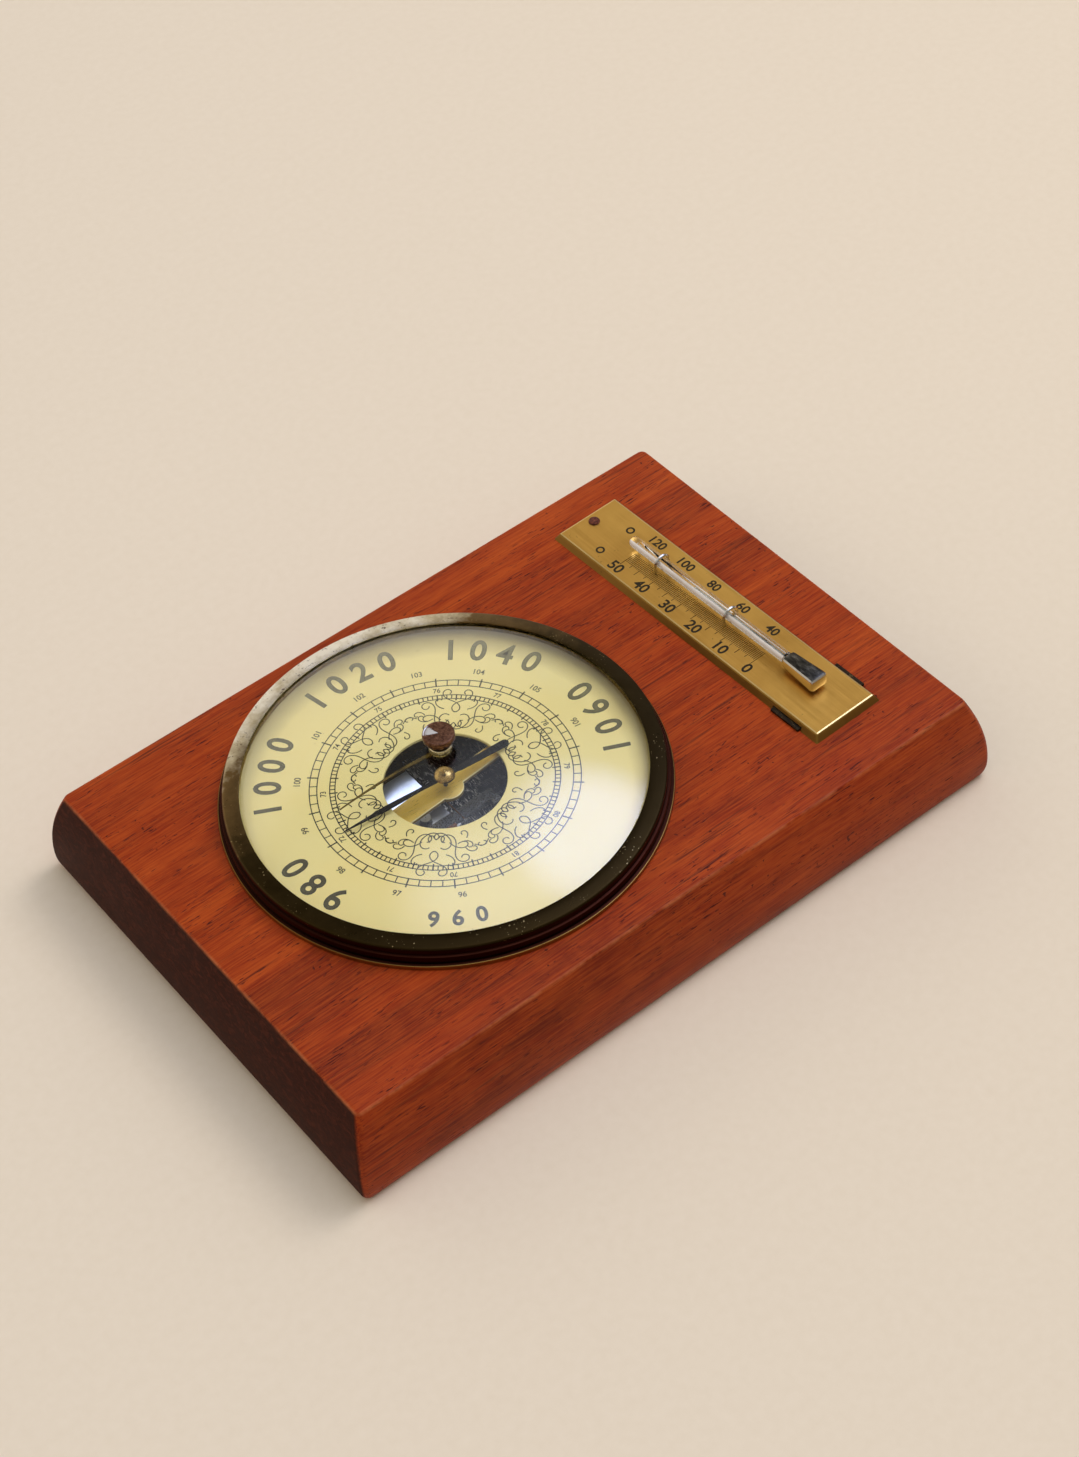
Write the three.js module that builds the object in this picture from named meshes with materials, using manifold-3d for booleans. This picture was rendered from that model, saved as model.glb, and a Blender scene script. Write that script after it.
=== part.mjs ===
// Wooden board barometer with a thermometer plate, lying on its back.
// Millimetres, +Z up. The origin is the centre of the board's back face.
import * as THREE from 'three';
import { mergeGeometries, mergeVertices } from 'three/addons/utils/BufferGeometryUtils.js';
import Module from 'manifold-3d';

const wasm = await Module();
wasm.setup();

// Board
const BOARD_LENGTH = 210; // top face, along X
const BOARD_WIDTH = 141; // top face, along Y
const BACK_ROOM = 2.3; // from the board's back face to the lowest screw heads in its bore
const BOARD_CORNER = 2;
const EDGE_BULGE = 5.5; // how far the moulded sides stand out past the top face
const EDGE_WIDEST = 24; // depth below the top face where they are widest
const EDGE_ROLL = 2; // how far they roll back in at the table

// Clearances
const FIT = 0.3; // between a faceted piece and the hole or groove it sits in
const PIVOT_GAP = 0.3; // running gap of the movement's pivots
const PILOT_EXTRA = 0.5; // how much deeper a pilot hole is than its screw

// Barometer case; heights are measured from the board's top face
const DIAL_X = -22.6;
const DIAL_Y = 1.6;
const CAN_RADIUS = 52;
const CAN_WALL = 1;
const FLANGE_MARGIN = 2.9; // flange outside the upstand that the bezel grips
const FLANGE_THICK = 1.4;
const RIM_WALL = 0.8;
const RIM_HEIGHT = 2.6;
const BEZEL_WALL = 0.7;
const BEZEL_STEP = 0.8; // lower band stands out by this much
const BEZEL_BAND = 2.5; // height of the lower band
const BEZEL_TOP = 7;
const BEZEL_LIP = 4.8; // width of the top ring
const BEZEL_FALL = 0.7; // how far the top ring falls from its lip to its edge
const BEZEL_ROUND = 0.4;
const LIP_THICK = 0.6;
const DIAL_THICK = 1;
const DIAL_HOLE = 17.2;
const RING_WIDTH = 2.4; // ring between the dial and the glass
const RING_HEIGHT = 1.5;
const GLASS_THICK = 1.4;
const GLASS_EDGE = 1.6;
const GLASS_PLAY = 1; // between its edge and the upstand's lining
const GLASS_RISE = 11.8;
const GLASS_SEAT = 1.4; // width of the glass's ground flat
const CASE_SCREWS = 3;
const CASE_SCREW_INSIDE = 1.4; // flange between the can's wall and a screw head
const CASE_SCREW_OUTSIDE = 1.7; // flange between a screw head and the upstand's face
const CASE_SCREW_RADIUS = 1.2;
const CASE_SCREW_HEAD = 2.6;
const CASE_SCREW_HEAD_THICK = 0.6;
const CASE_SCREW_LENGTH = 10;
const FLANGE_GAP = 0.1; // how far the screw heads lie below the flange face

// Set hand and its knob
const BUSH_RADIUS = 2.3;
const BUSH_BORE = 1.6;
const BUSH_FLANGE = 3.2;
const BUSH_FLANGE_THICK = 0.6;
const BUSH_PLAY = 0.05; // between its lower flange and the glass
const KNOB_RADIUS = 4.5;
const KNOB_HEIGHT = 2.1;
const KNOB_NECK_TOP = 3.7;
const KNOB_NECK_FOOT = 2.8;
const KNOB_NECK_HEIGHT = 2;
const SPIGOT_RADIUS = 0.7;
const HAND_BOSS_RADIUS = 2.2;
const HAND_THICK = 0.6;
const SET_HAND_REACH = 30.4;
const SET_HAND_TIP_CLEAR = 1; // height of its tip over the pointer
const SET_HAND_ANGLE = 164;
const HAND_NUT_RADIUS = 1.7;

// Pointer
const POINTER_ANGLE = 175.9;
const POINTER_REACH = 32.4;
const POINTER_TAIL = 21;
const POINTER_THICK = 0.4;
const POINTER_CLEAR = 1.4; // height over the dial
const POINTER_BELLY = 19; // where the blade is widest
const POINTER_BELLY_HALF = 0.85;
const POINTER_NECK_HALF = 0.45;
const POINTER_TAIL_HALF = 1.25;
const POINTER_HUB = 2.2;
const POINTER_SHOULDER = 5.2; // where the tail widens
const CAP_RADIUS = 3;
const CAP_HEIGHT = 2;
const ARBOR_RADIUS = 0.35;
const COLLET_RADIUS = 1;

// Movement
const BASE_RADIUS = 38;
const BASE_THICK = 1.5;
const BASE_SCREWS = 3;
const BASE_SCREW_PITCH = 33;
const BASE_SCREW_TURN = 75;
const SMALL_SCREW_RADIUS = 1;
const SMALL_HEAD_RADIUS = 2;
const SMALL_HEAD_THICK = 1.2;
const SMALL_SCREW_LENGTH = 4;
const CAPSULE_X = -8;
const CAPSULE_RADIUS = 20;
const CAPSULE_THICK = 6;
const CAPSULE_FOOT_RADIUS = 5;
const CAPSULE_FOOT = 3;
const CAPSULE_BOSS_RADIUS = 4;
const CAPSULE_BOSS = 1.5;
const CAPSULE_WAVE = 0.5;
const CAPSULE_WAVES = 2;
const POST_RADIUS = 1.6;
const POST_PIN_RADIUS = 0.5;
const POST_PIN_LENGTH = 4.8;
const SPRING_THICK = 1.2;
const SPRING_CLEAR = 3.1; // from the capsule's boss to the limb over it
const SPRING_BEND_X = -31;
const SPRING_FOOT = 15;
const SPRING_LIMB = 30;
const SPRING_WIDTH = 26;
const SPRING_Y = 6;
const LEVER_WIDTH = 3.5;
const LEVER_THICK = 1.6;
const LEVER_Y = -4.65;
const LEVER_START = -27;
const LEVER_END = 12.5;
const LEVER_FOOT = 3;
const STRIP_THICK = 0.8;
const STRIP_HEIGHT = 1.2;
const STRIP_LENGTH = 17.5;
const STRIP_END = -2.5;
const PLATE_CLEAR = 0.9; // from the capsule to the arbor plate over it
const PLATE_THICK = 1.2;
const PLATE_PILLARS = [[27, 12], [27, -12], [6, 21.5]];
const PLATE_MARGIN = 4; // from a pillar's or the shaft bracket's edge to the plate's
const PLATE_LEFT = -2;
const PLATE_WAIST = 12;
const PLATE_EAR = 0.7;
const PILLAR_RADIUS = 2;
const HEAD_ROOM = 5.5; // from the lever's screw heads to the bridge
const SHAFT_Y = -9;
const SHAFT_RISE = 1.9; // shaft's height over the arbor plate
const SHAFT_RADIUS = 0.8;
const SHAFT_PIVOT = 0.45;
const SHAFT_PIVOT_LENGTH = 1.7;
const SHAFT_LEFT = -2;
const SHAFT_RIGHT = 13;
const BRACKET_THICK = 1;
const BRACKET_WIDTH = 3;
const BRACKET_HEIGHT = 3.6;
const BRACKET_STRIP = 0.6;
const ARM_LENGTH = 5; // from the shaft to the chain
const ARM_TIP = 0.3;
const ARM_WIDTH = 1;
const ARM_THICK = 0.8;
const CRANK_LENGTH = 1.6; // from the shaft to the link
const CRANK_TIP = 0.8;
const CRANK_WIDTH = 1.2;
const CRANK_THICK = 1;
const CRANK_X = 11;
const LINK_RADIUS = 0.4;
const CHAIN_RADIUS = 0.2;
const CHAIN_GAP = 0.05;
const BRIDGE_THICK = 1.4;
const BRIDGE_HEAD_THICK = 0.6; // heads of its screws, under the dial
const BRIDGE_TURN = 3.8;
const BRIDGE_LEFT_HALF = 3.6;
const BRIDGE_RIGHT_HALF = 2.5;
const BRIDGE_LEFT = 25;
const BRIDGE_RIGHT = 27;
const BRIDGE_SHOULDER = 6; // where the left arm reaches its full width
const BRIDGE_LOBE = 4.4;
const BRIDGE_LOBE_SHIFT = 1;
const BRIDGE_LEG = 23;
const BRIDGE_LEG_WIDTH = 7;
const HAIRSPRING_TURNS = 4;
const HAIRSPRING_PITCH = 0.8;
const HAIRSPRING_WIDTH = 0.3;
const HAIRSPRING_HEIGHT = 0.5;
const HAIRSPRING_DROP = 0.5; // below the bridge
const STUD_RADIUS = 0.5;
const ADJUST_X = -24.5;
const ADJUST_Y = 4;
const ADJUST_RADIUS = 1.8;
const ADJUST_HEAD = 3;
const ADJUST_HEAD_THICK = 1.1;
const SLOT_WIDTH = 0.8;
const SLOT_DEPTH = 0.6;

// Thermometer; its own X and Y run across and up the plate
const PLATE_X = 74.1;
const PLATE_Y = 2;
const PLATE_TURN = 1.5;
const PLATE_LENGTH = 113;
const PLATE_WIDTH = 24.2;
const PLATE_HEIGHT = 2.2;
const PLATE_SLOPE = 1.3; // how far the folded skirt leans in on each side
const PLATE_SHEET = 0.8;
const NAIL_INSET = 4.5;
const NAIL_HEAD = 1.7;
const NAIL_RADIUS = 0.7;
const NAIL_LENGTH = 10;
const NAIL_DOME = 0.7;
const BRACKET_BAR_INSET = 12.5; // from the plate's lower end
const BRACKET_BAR_LENGTH = 25.6;
const BRACKET_BAR_WIDTH = 11;
const BRACKET_BAR_THICK = 0.8;
const TUBE_X = 1;
const TUBE_RADIUS = 1.8;
const TUBE_BORE = 0.8;
const TUBE_INSET = 20.5; // from the plate's upper end
const TUBE_LENGTH = 66.3;
const TUBE_LIFT = 3.1; // axis over the plate
const COLUMN_RADIUS = 0.45;
const COLUMN_DROP = 28; // from the tube's top to the top of the liquid
const BULB_LENGTH = 13.4;
const BULB_WIDTH = 6.2;
const BULB_HEIGHT = 4.6;
const CLIP_DROPS = [13.5, 43]; // from the tube's top
const CLIP_WIRE = 0.35;

// Wall hanger let into the back
const HANGER_X = 0;
const HANGER_Y = 61;
const HANGER_LENGTH = 26;
const HANGER_WIDTH = 13;
const HANGER_THICK = 1.4;
const HANGER_RECESS = 2.6;
const KEYHOLE_RADIUS = 4;
const KEYHOLE_SLOT = 2.2;
const KEYHOLE_DROP = 2;
const KEYHOLE_TRAVEL = 6;
const KEYHOLE_DEPTH = 13;
const KEYHOLE_CLEAR = 0.5; // round a nail's head, inside the board
const HANGER_SCREW_INSET = 3; // from the plate's end
const HANGER_SCREW_RADIUS = 1.1;
const HANGER_SCREW_HEAD = 2.4;
const HANGER_SCREW_LENGTH = 9;

// Facets
const ROUND = 64;
const MIDDLE = 32;
const KNOB_FACETS = 24;
const SMALL = 12;
const TINY = 8;

// Case radii that follow from the can
const CASE_SCREW_PITCH = CAN_RADIUS + CASE_SCREW_INSIDE + CASE_SCREW_HEAD;
const RIM_OUTER = CASE_SCREW_PITCH + CASE_SCREW_HEAD + CASE_SCREW_OUTSIDE;
const FLANGE_RADIUS = RIM_OUTER + FLANGE_MARGIN;
const BEZEL_OUTER = RIM_OUTER + FIT + BEZEL_WALL;
const GLASS_RADIUS = RIM_OUTER - RIM_WALL - FIT - GLASS_PLAY;

// Depths that follow from the movement's stack of pieces
const BRIDGE_TOP = FLANGE_THICK - FIT - BRIDGE_HEAD_THICK;
const BRIDGE_BOTTOM = BRIDGE_TOP - BRIDGE_THICK;
const SPRING_GAP = CAPSULE_FOOT + CAPSULE_THICK + CAPSULE_BOSS + SPRING_CLEAR - SPRING_THICK;
const PLATE_LEVEL = CAPSULE_FOOT + CAPSULE_THICK + PLATE_CLEAR + PLATE_THICK;
const STACK = BASE_THICK + 2 * SPRING_THICK + SPRING_GAP + LEVER_THICK + SMALL_HEAD_THICK;
const CAN_DEPTH = HEAD_ROOM + STACK + CAN_WALL - BRIDGE_BOTTOM;
const BOARD_HEIGHT = CAN_DEPTH + SMALL_HEAD_THICK + BACK_ROOM;

// Heights over the board's top face that follow from the sizes above
const DIAL_BOTTOM = FLANGE_THICK;
const DIAL_TOP = DIAL_BOTTOM + DIAL_THICK;
const GLASS_BOTTOM = DIAL_TOP + RING_HEIGHT;
const GLASS_EDGE_TOP = GLASS_BOTTOM + GLASS_EDGE;
const GLASS_APEX = GLASS_EDGE_TOP + GLASS_RISE;
const DOME_RADIUS = (GLASS_RADIUS ** 2 + GLASS_RISE ** 2) / (2 * GLASS_RISE);
const DOME_CENTRE = GLASS_APEX - DOME_RADIUS;
const POINTER_BOTTOM = DIAL_TOP + POINTER_CLEAR;
const POINTER_TOP = POINTER_BOTTOM + POINTER_THICK;
const CAN_FLOOR = CAN_WALL - CAN_DEPTH;
const BASE_TOP = CAN_FLOOR + BASE_THICK;
const CAPSULE_BOTTOM = BASE_TOP + CAPSULE_FOOT;
const CAPSULE_TOP = CAPSULE_BOTTOM + CAPSULE_THICK;
const SPRING_TOP = BASE_TOP + 2 * SPRING_THICK + SPRING_GAP;
const LEVER_TOP = SPRING_TOP + LEVER_THICK;
const PIN_LEVEL = SPRING_TOP + FIT + POST_PIN_RADIUS;
const POST_TOP = PIN_LEVEL + 2 * POST_PIN_RADIUS + FIT;
const PLATE_TOP = BASE_TOP + PLATE_LEVEL;
const SHAFT_LEVEL = PLATE_TOP + SHAFT_RISE;
const CHAIN_LEVEL = SHAFT_LEVEL + ARM_LENGTH;
const HAIRSPRING_TOP = BRIDGE_BOTTOM - HAIRSPRING_DROP;
const HAIRSPRING_START = COLLET_RADIUS + FIT + HAIRSPRING_WIDTH / 2;
const HAIRSPRING_END = HAIRSPRING_START + HAIRSPRING_TURNS * HAIRSPRING_PITCH;
const BUSH_TOP = GLASS_APEX + BUSH_FLANGE_THICK;
const BUSH_FOOT = GLASS_APEX - GLASS_THICK - BUSH_PLAY - BUSH_FLANGE_THICK;
const STEM_RADIUS = BUSH_BORE - FIT;
const HAND_TOP = BUSH_FOOT - FIT;
const HAND_BOTTOM = HAND_TOP - HAND_THICK;
const TUBE_LEVEL = PLATE_HEIGHT + TUBE_LIFT;

// Places along the thermometer plate
const TUBE_TOP = PLATE_LENGTH / 2 - TUBE_INSET;
const TUBE_FOOT = TUBE_TOP - TUBE_LENGTH;
const COLUMN_TOP = TUBE_TOP - COLUMN_DROP;
const BRACKET_BAR_Y = BRACKET_BAR_INSET - PLATE_LENGTH / 2;

// Places of the screws, each in its own group's frame
const CASE_SCREW_PLACES = ringPlaces(CASE_SCREWS, CASE_SCREW_PITCH, 90);
const BASE_SCREW_PLACES = ringPlaces(BASE_SCREWS, BASE_SCREW_PITCH, BASE_SCREW_TURN);
const HANGER_SCREW_X = HANGER_LENGTH / 2 - HANGER_SCREW_INSET;
const HANGER_SCREW_PLACES = [[-HANGER_SCREW_X, 0], [HANGER_SCREW_X, 0]];

const COLOURS = {
  wood: [0x8c3a1c, 0.45, 0],
  antiqueBrass: [0x5d5230, 0.4, 1],
  brass: [0xa88a3c, 0.35, 1],
  steel: [0x9a9a98, 0.25, 1],
  blackSteel: [0x1c1b1a, 0.5, 0.6],
  bronze: [0x6a4630, 0.35, 1],
  copper: [0xa8653c, 0.35, 1],
  silver: [0xb8b8b4, 0.15, 1],
  dial: [0xd8cf95, 0.5, 0],
  glass: [0xe8eee8, 0.05, 0],
  rust: [0x5a2a1a, 0.8, 0.5],
};

function material(name) {
  const [color, roughness, metalness] = COLOURS[name];
  const made = new THREE.MeshStandardMaterial({ color, roughness, metalness });
  if (name === 'glass') {
    made.transparent = true;
    made.opacity = 0.35;
  }
  return made;
}

function signedVolume(geometry) {
  const position = geometry.getAttribute('position');
  const index = geometry.getIndex();
  const [a, b, c] = [new THREE.Vector3(), new THREE.Vector3(), new THREE.Vector3()];
  let volume = 0;
  for (let i = 0; i < index.count; i += 3) {
    a.fromBufferAttribute(position, index.getX(i));
    b.fromBufferAttribute(position, index.getX(i + 1));
    c.fromBufferAttribute(position, index.getX(i + 2));
    volume += a.dot(b.cross(c)) / 6;
  }
  return volume;
}

// Joins shared vertices, drops empty triangles and turns the faces outwards
function closed(geometry) {
  const bare = geometry.clone();
  bare.deleteAttribute('normal');
  bare.deleteAttribute('uv');
  const merged = mergeVertices(bare, 1e-5);
  const index = merged.getIndex();
  const kept = [];
  for (let i = 0; i < index.count; i += 3) {
    const [a, b, c] = [index.getX(i), index.getX(i + 1), index.getX(i + 2)];
    if (a !== b && b !== c && c !== a) kept.push(a, b, c);
  }
  merged.setIndex(kept);
  if (signedVolume(merged) < 0) {
    for (let i = 0; i < kept.length; i += 3) {
      [kept[i + 1], kept[i + 2]] = [kept[i + 2], kept[i + 1]];
    }
    merged.setIndex(kept);
  }
  return merged;
}

function solid(geometry) {
  const body = closed(geometry);
  const mesh = new wasm.Mesh({
    numProp: 3,
    vertProperties: new Float32Array(body.getAttribute('position').array),
    triVerts: new Uint32Array(body.getIndex().array),
  });
  return new wasm.Manifold(mesh);
}

function geometryOf(manifold) {
  const mesh = manifold.getMesh();
  const geometry = new THREE.BufferGeometry();
  geometry.setAttribute('position', new THREE.Float32BufferAttribute(mesh.vertProperties, 3));
  geometry.setIndex(Array.from(mesh.triVerts));
  return geometry;
}

function cut(geometry, ...tools) {
  return geometryOf(tools.reduce((body, tool) => body.subtract(solid(tool)), solid(geometry)));
}

function join(geometry, ...others) {
  return geometryOf(others.reduce((body, other) => body.add(solid(other)), solid(geometry)));
}

function box(x0, x1, y0, y1, z0, z1) {
  const geometry = new THREE.BoxGeometry(x1 - x0, y1 - y0, z1 - z0);
  return geometry.translate((x0 + x1) / 2, (y0 + y1) / 2, (z0 + z1) / 2);
}

// Spins [radius, height] points about Z
function spin(points, facets) {
  const profile = points.map(([r, z]) => new THREE.Vector2(r, z));
  return new THREE.LatheGeometry(profile, facets).rotateX(Math.PI / 2);
}

function rod(radius, z0, z1, facets = SMALL, x = 0, y = 0) {
  return spin([[0, z0], [radius, z0], [radius, z1], [0, z1]], facets).translate(x, y, 0);
}

function tube(inner, outer, z0, z1, facets) {
  return spin([[inner, z0], [outer, z0], [outer, z1], [inner, z1], [inner, z0]], facets);
}

function shapeOf(points) {
  return new THREE.Shape(points.map(([x, y]) => new THREE.Vector2(x, y)));
}

function slab(shape, z0, z1, curveSegments = TINY) {
  const options = { depth: z1 - z0, bevelEnabled: false, curveSegments };
  return new THREE.ExtrudeGeometry(shape, options).translate(0, 0, z0);
}

// Closed skin over a stack of convex rings that all have the same number of points
function loft(rings) {
  const count = rings[0].length;
  const points = rings.flat();
  const index = [];
  for (let ring = 0; ring + 1 < rings.length; ring += 1) {
    for (let i = 0; i < count; i += 1) {
      const a = ring * count + i;
      const b = ring * count + ((i + 1) % count);
      index.push(a, b, b + count, a, b + count, a + count);
    }
  }
  const last = (rings.length - 1) * count;
  for (let i = 1; i + 1 < count; i += 1) {
    index.push(0, i + 1, i);
    index.push(last, last + i, last + i + 1);
  }
  const geometry = new THREE.BufferGeometry();
  geometry.setAttribute('position', new THREE.Float32BufferAttribute(points.flat(), 3));
  geometry.setIndex(index);
  return geometry;
}

function roundedRing(length, width, corner, z, steps = 4) {
  const ring = [];
  const centres = [[1, 1], [-1, 1], [-1, -1], [1, -1]];
  centres.forEach(([sx, sy], quarter) => {
    for (let step = 0; step <= steps; step += 1) {
      const angle = ((quarter + step / steps) * Math.PI) / 2;
      const x = sx * (length / 2 - corner) + corner * Math.cos(angle);
      const y = sy * (width / 2 - corner) + corner * Math.sin(angle);
      ring.push([x, y, z]);
    }
  });
  return ring;
}

// Points at equal angles round Z
function ringPlaces(count, pitch, turnDegrees) {
  return Array.from({ length: count }, (_, i) => {
    const angle = THREE.MathUtils.degToRad(turnDegrees) + (i * 2 * Math.PI) / count;
    return [pitch * Math.cos(angle), pitch * Math.sin(angle)];
  });
}

// One cutting tool made of copies of a solid
function copiesAt(places, geometry) {
  return mergeGeometries(places.map(([x, y]) => closed(geometry).translate(x, y, 0)));
}

function screw(radius, headRadius, headThick, headBottom, length) {
  const slot = box(-headRadius - 1, headRadius + 1, -SLOT_WIDTH / 2, SLOT_WIDTH / 2,
    headBottom + headThick / 2, headBottom + headThick + 1);
  const body = spin([
    [0, headBottom - length],
    [radius, headBottom - length],
    [radius, headBottom],
    [headRadius, headBottom],
    [headRadius, headBottom + headThick],
    [0, headBottom + headThick],
  ], SMALL);
  return cut(body, slot);
}

// Board

// How far the moulded side stands out at a depth below the top face
function edgeOffset(depth) {
  if (depth <= EDGE_WIDEST) {
    const left = 1 - depth / EDGE_WIDEST;
    return EDGE_BULGE * (1 - left * left);
  }
  const share = (depth - EDGE_WIDEST) / (BOARD_HEIGHT - EDGE_WIDEST);
  return EDGE_BULGE - EDGE_ROLL * (1 - Math.sqrt(Math.max(0, 1 - share * share)));
}

function boardBlank() {
  const depths = [];
  const upper = 8;
  const lower = 6;
  for (let i = 0; i <= lower; i += 1) {
    const angle = (Math.PI / 2) * (1 - i / lower);
    depths.push(EDGE_WIDEST + (BOARD_HEIGHT - EDGE_WIDEST) * Math.sin(angle));
  }
  for (let i = 1; i <= upper; i += 1) depths.push(EDGE_WIDEST * (1 - i / upper));
  const rings = depths.map((depth) => {
    const grow = 2 * edgeOffset(depth);
    return roundedRing(BOARD_LENGTH + grow, BOARD_WIDTH + grow, BOARD_CORNER, BOARD_HEIGHT - depth);
  });
  return loft(rings);
}

function onPlate(x, y) {
  const turn = THREE.MathUtils.degToRad(PLATE_TURN);
  const spot = new THREE.Vector2(x, y).rotateAround(new THREE.Vector2(), turn);
  return [PLATE_X + spot.x, PLATE_Y + spot.y];
}

function keyholePocket() {
  const half = KEYHOLE_RADIUS + KEYHOLE_CLEAR;
  const bottom = HANGER_RECESS - 1;
  const [low, high] = [HANGER_Y - KEYHOLE_DROP, HANGER_Y - KEYHOLE_DROP + KEYHOLE_TRAVEL];
  const run = box(HANGER_X - half, HANGER_X + half, low, high, bottom, KEYHOLE_DEPTH);
  const [foot, head] = [low, high].map((y) => rod(half, bottom, KEYHOLE_DEPTH, SMALL, HANGER_X, y));
  return join(run, foot, head);
}

function woodBlock() {
  const top = BOARD_HEIGHT;
  const bore = rod(CAN_RADIUS + FIT, -1, top + 1, ROUND, DIAL_X, DIAL_Y);
  const pilotRadius = CASE_SCREW_RADIUS + FIT;
  const pilot = rod(pilotRadius, top - CASE_SCREW_LENGTH - PILOT_EXTRA, top + 1, TINY);
  const pilots = copiesAt(CASE_SCREW_PLACES, pilot).translate(DIAL_X, DIAL_Y, 0);
  const [nailX, nailY] = onPlate(0, PLATE_LENGTH / 2 - NAIL_INSET);
  const nailHole = rod(NAIL_RADIUS + FIT, top - NAIL_LENGTH, top + 1, TINY, nailX, nailY);
  const [screwX, screwY] = onPlate(0, BRACKET_BAR_Y);
  const barHole = rod(SMALL_SCREW_RADIUS + FIT, top - NAIL_LENGTH, top + 1, TINY, screwX, screwY);
  const recess = box(
    HANGER_X - HANGER_LENGTH / 2 - FIT, HANGER_X + HANGER_LENGTH / 2 + FIT,
    HANGER_Y - HANGER_WIDTH / 2 - FIT, HANGER_Y + HANGER_WIDTH / 2 + FIT,
    -1, HANGER_RECESS,
  );
  const hangerPilot = rod(HANGER_SCREW_RADIUS + FIT, 0, HANGER_SCREW_LENGTH + HANGER_RECESS, TINY);
  const hangerPilots = copiesAt(HANGER_SCREW_PLACES, hangerPilot).translate(HANGER_X, HANGER_Y, 0);
  return cut(boardBlank(), bore, pilots, nailHole, barHole, recess, keyholePocket(), hangerPilots);
}

// Case, dial and glass

function caseCan() {
  const inner = CAN_RADIUS - CAN_WALL;
  const rimInner = RIM_OUTER - RIM_WALL;
  const rimTop = FLANGE_THICK + RIM_HEIGHT;
  const shell = spin([
    [0, -CAN_DEPTH], [CAN_RADIUS, -CAN_DEPTH], [CAN_RADIUS, 0], [FLANGE_RADIUS, 0],
    [FLANGE_RADIUS, FLANGE_THICK], [RIM_OUTER, FLANGE_THICK], [RIM_OUTER, rimTop],
    [rimInner, rimTop], [rimInner, FLANGE_THICK], [inner, FLANGE_THICK],
    [inner, CAN_FLOOR], [0, CAN_FLOOR],
  ], ROUND);
  const shank = rod(CASE_SCREW_RADIUS + FIT, -1, FLANGE_THICK + 1, TINY);
  const sinkFoot = FLANGE_THICK - CASE_SCREW_HEAD_THICK - FLANGE_GAP;
  const sink = rod(CASE_SCREW_HEAD + FIT, sinkFoot, FLANGE_THICK + 1);
  const shanks = copiesAt(CASE_SCREW_PLACES, shank);
  const sinks = copiesAt(CASE_SCREW_PLACES, sink);
  const baseHole = rod(SMALL_SCREW_RADIUS + FIT, -CAN_DEPTH - 1, CAN_FLOOR + 1, TINY);
  const baseHoles = copiesAt(BASE_SCREW_PLACES, baseHole);
  const adjustHole = rod(ADJUST_HEAD + FIT, -CAN_DEPTH - 1, CAN_FLOOR + 1, SMALL, ADJUST_X, ADJUST_Y);
  return cut(shell, shanks, sinks, baseHoles, adjustHole);
}

function caseScrew() {
  const bottom = FLANGE_THICK - CASE_SCREW_HEAD_THICK - FLANGE_GAP;
  return screw(CASE_SCREW_RADIUS, CASE_SCREW_HEAD, CASE_SCREW_HEAD_THICK, bottom, CASE_SCREW_LENGTH);
}

function bezel() {
  const wallInner = RIM_OUTER + FIT;
  const band = FLANGE_THICK + BEZEL_BAND;
  const lipInner = BEZEL_OUTER - BEZEL_LIP;
  const edge = BEZEL_TOP - BEZEL_FALL;
  return spin([
    [wallInner, FLANGE_THICK], [BEZEL_OUTER + BEZEL_STEP, FLANGE_THICK],
    [BEZEL_OUTER + BEZEL_STEP, band], [BEZEL_OUTER, band], [BEZEL_OUTER, edge - BEZEL_ROUND],
    [BEZEL_OUTER - BEZEL_ROUND, edge], [lipInner, BEZEL_TOP],
    [lipInner, BEZEL_TOP - LIP_THICK], [wallInner, edge - LIP_THICK], [wallInner, FLANGE_THICK],
  ], ROUND);
}

function dialPlate() {
  return tube(DIAL_HOLE, RIM_OUTER - RIM_WALL - FIT, DIAL_BOTTOM, DIAL_TOP, ROUND);
}

function retainingRing() {
  const outer = RIM_OUTER - RIM_WALL - FIT;
  return tube(outer - RING_WIDTH, outer, DIAL_TOP, GLASS_BOTTOM, ROUND);
}

function glassDome() {
  const steps = 6;
  const hole = BUSH_RADIUS + FIT;
  const inner = DOME_RADIUS - GLASS_THICK;
  const seat = GLASS_RADIUS - GLASS_SEAT;
  const height = (radius, r) => DOME_CENTRE + Math.sqrt(radius * radius - r * r);
  const profile = [[GLASS_RADIUS, GLASS_BOTTOM]];
  for (let i = 0; i <= steps; i += 1) {
    const r = GLASS_RADIUS + ((hole - GLASS_RADIUS) * i) / steps;
    profile.push([r, height(DOME_RADIUS, r)]);
  }
  for (let i = steps; i >= 0; i -= 1) {
    const r = seat + ((hole - seat) * i) / steps;
    profile.push([r, height(inner, r)]);
  }
  profile.push([seat, GLASS_BOTTOM], [GLASS_RADIUS, GLASS_BOTTOM]);
  return spin(profile, ROUND);
}

function glassBush() {
  return spin([
    [BUSH_BORE, BUSH_FOOT], [BUSH_FLANGE, BUSH_FOOT], [BUSH_FLANGE, BUSH_FOOT + BUSH_FLANGE_THICK],
    [BUSH_RADIUS, BUSH_FOOT + BUSH_FLANGE_THICK], [BUSH_RADIUS, GLASS_APEX], [BUSH_FLANGE, GLASS_APEX],
    [BUSH_FLANGE, BUSH_TOP], [BUSH_BORE, BUSH_TOP], [BUSH_BORE, BUSH_FOOT],
  ], SMALL);
}

// Set hand

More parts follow.
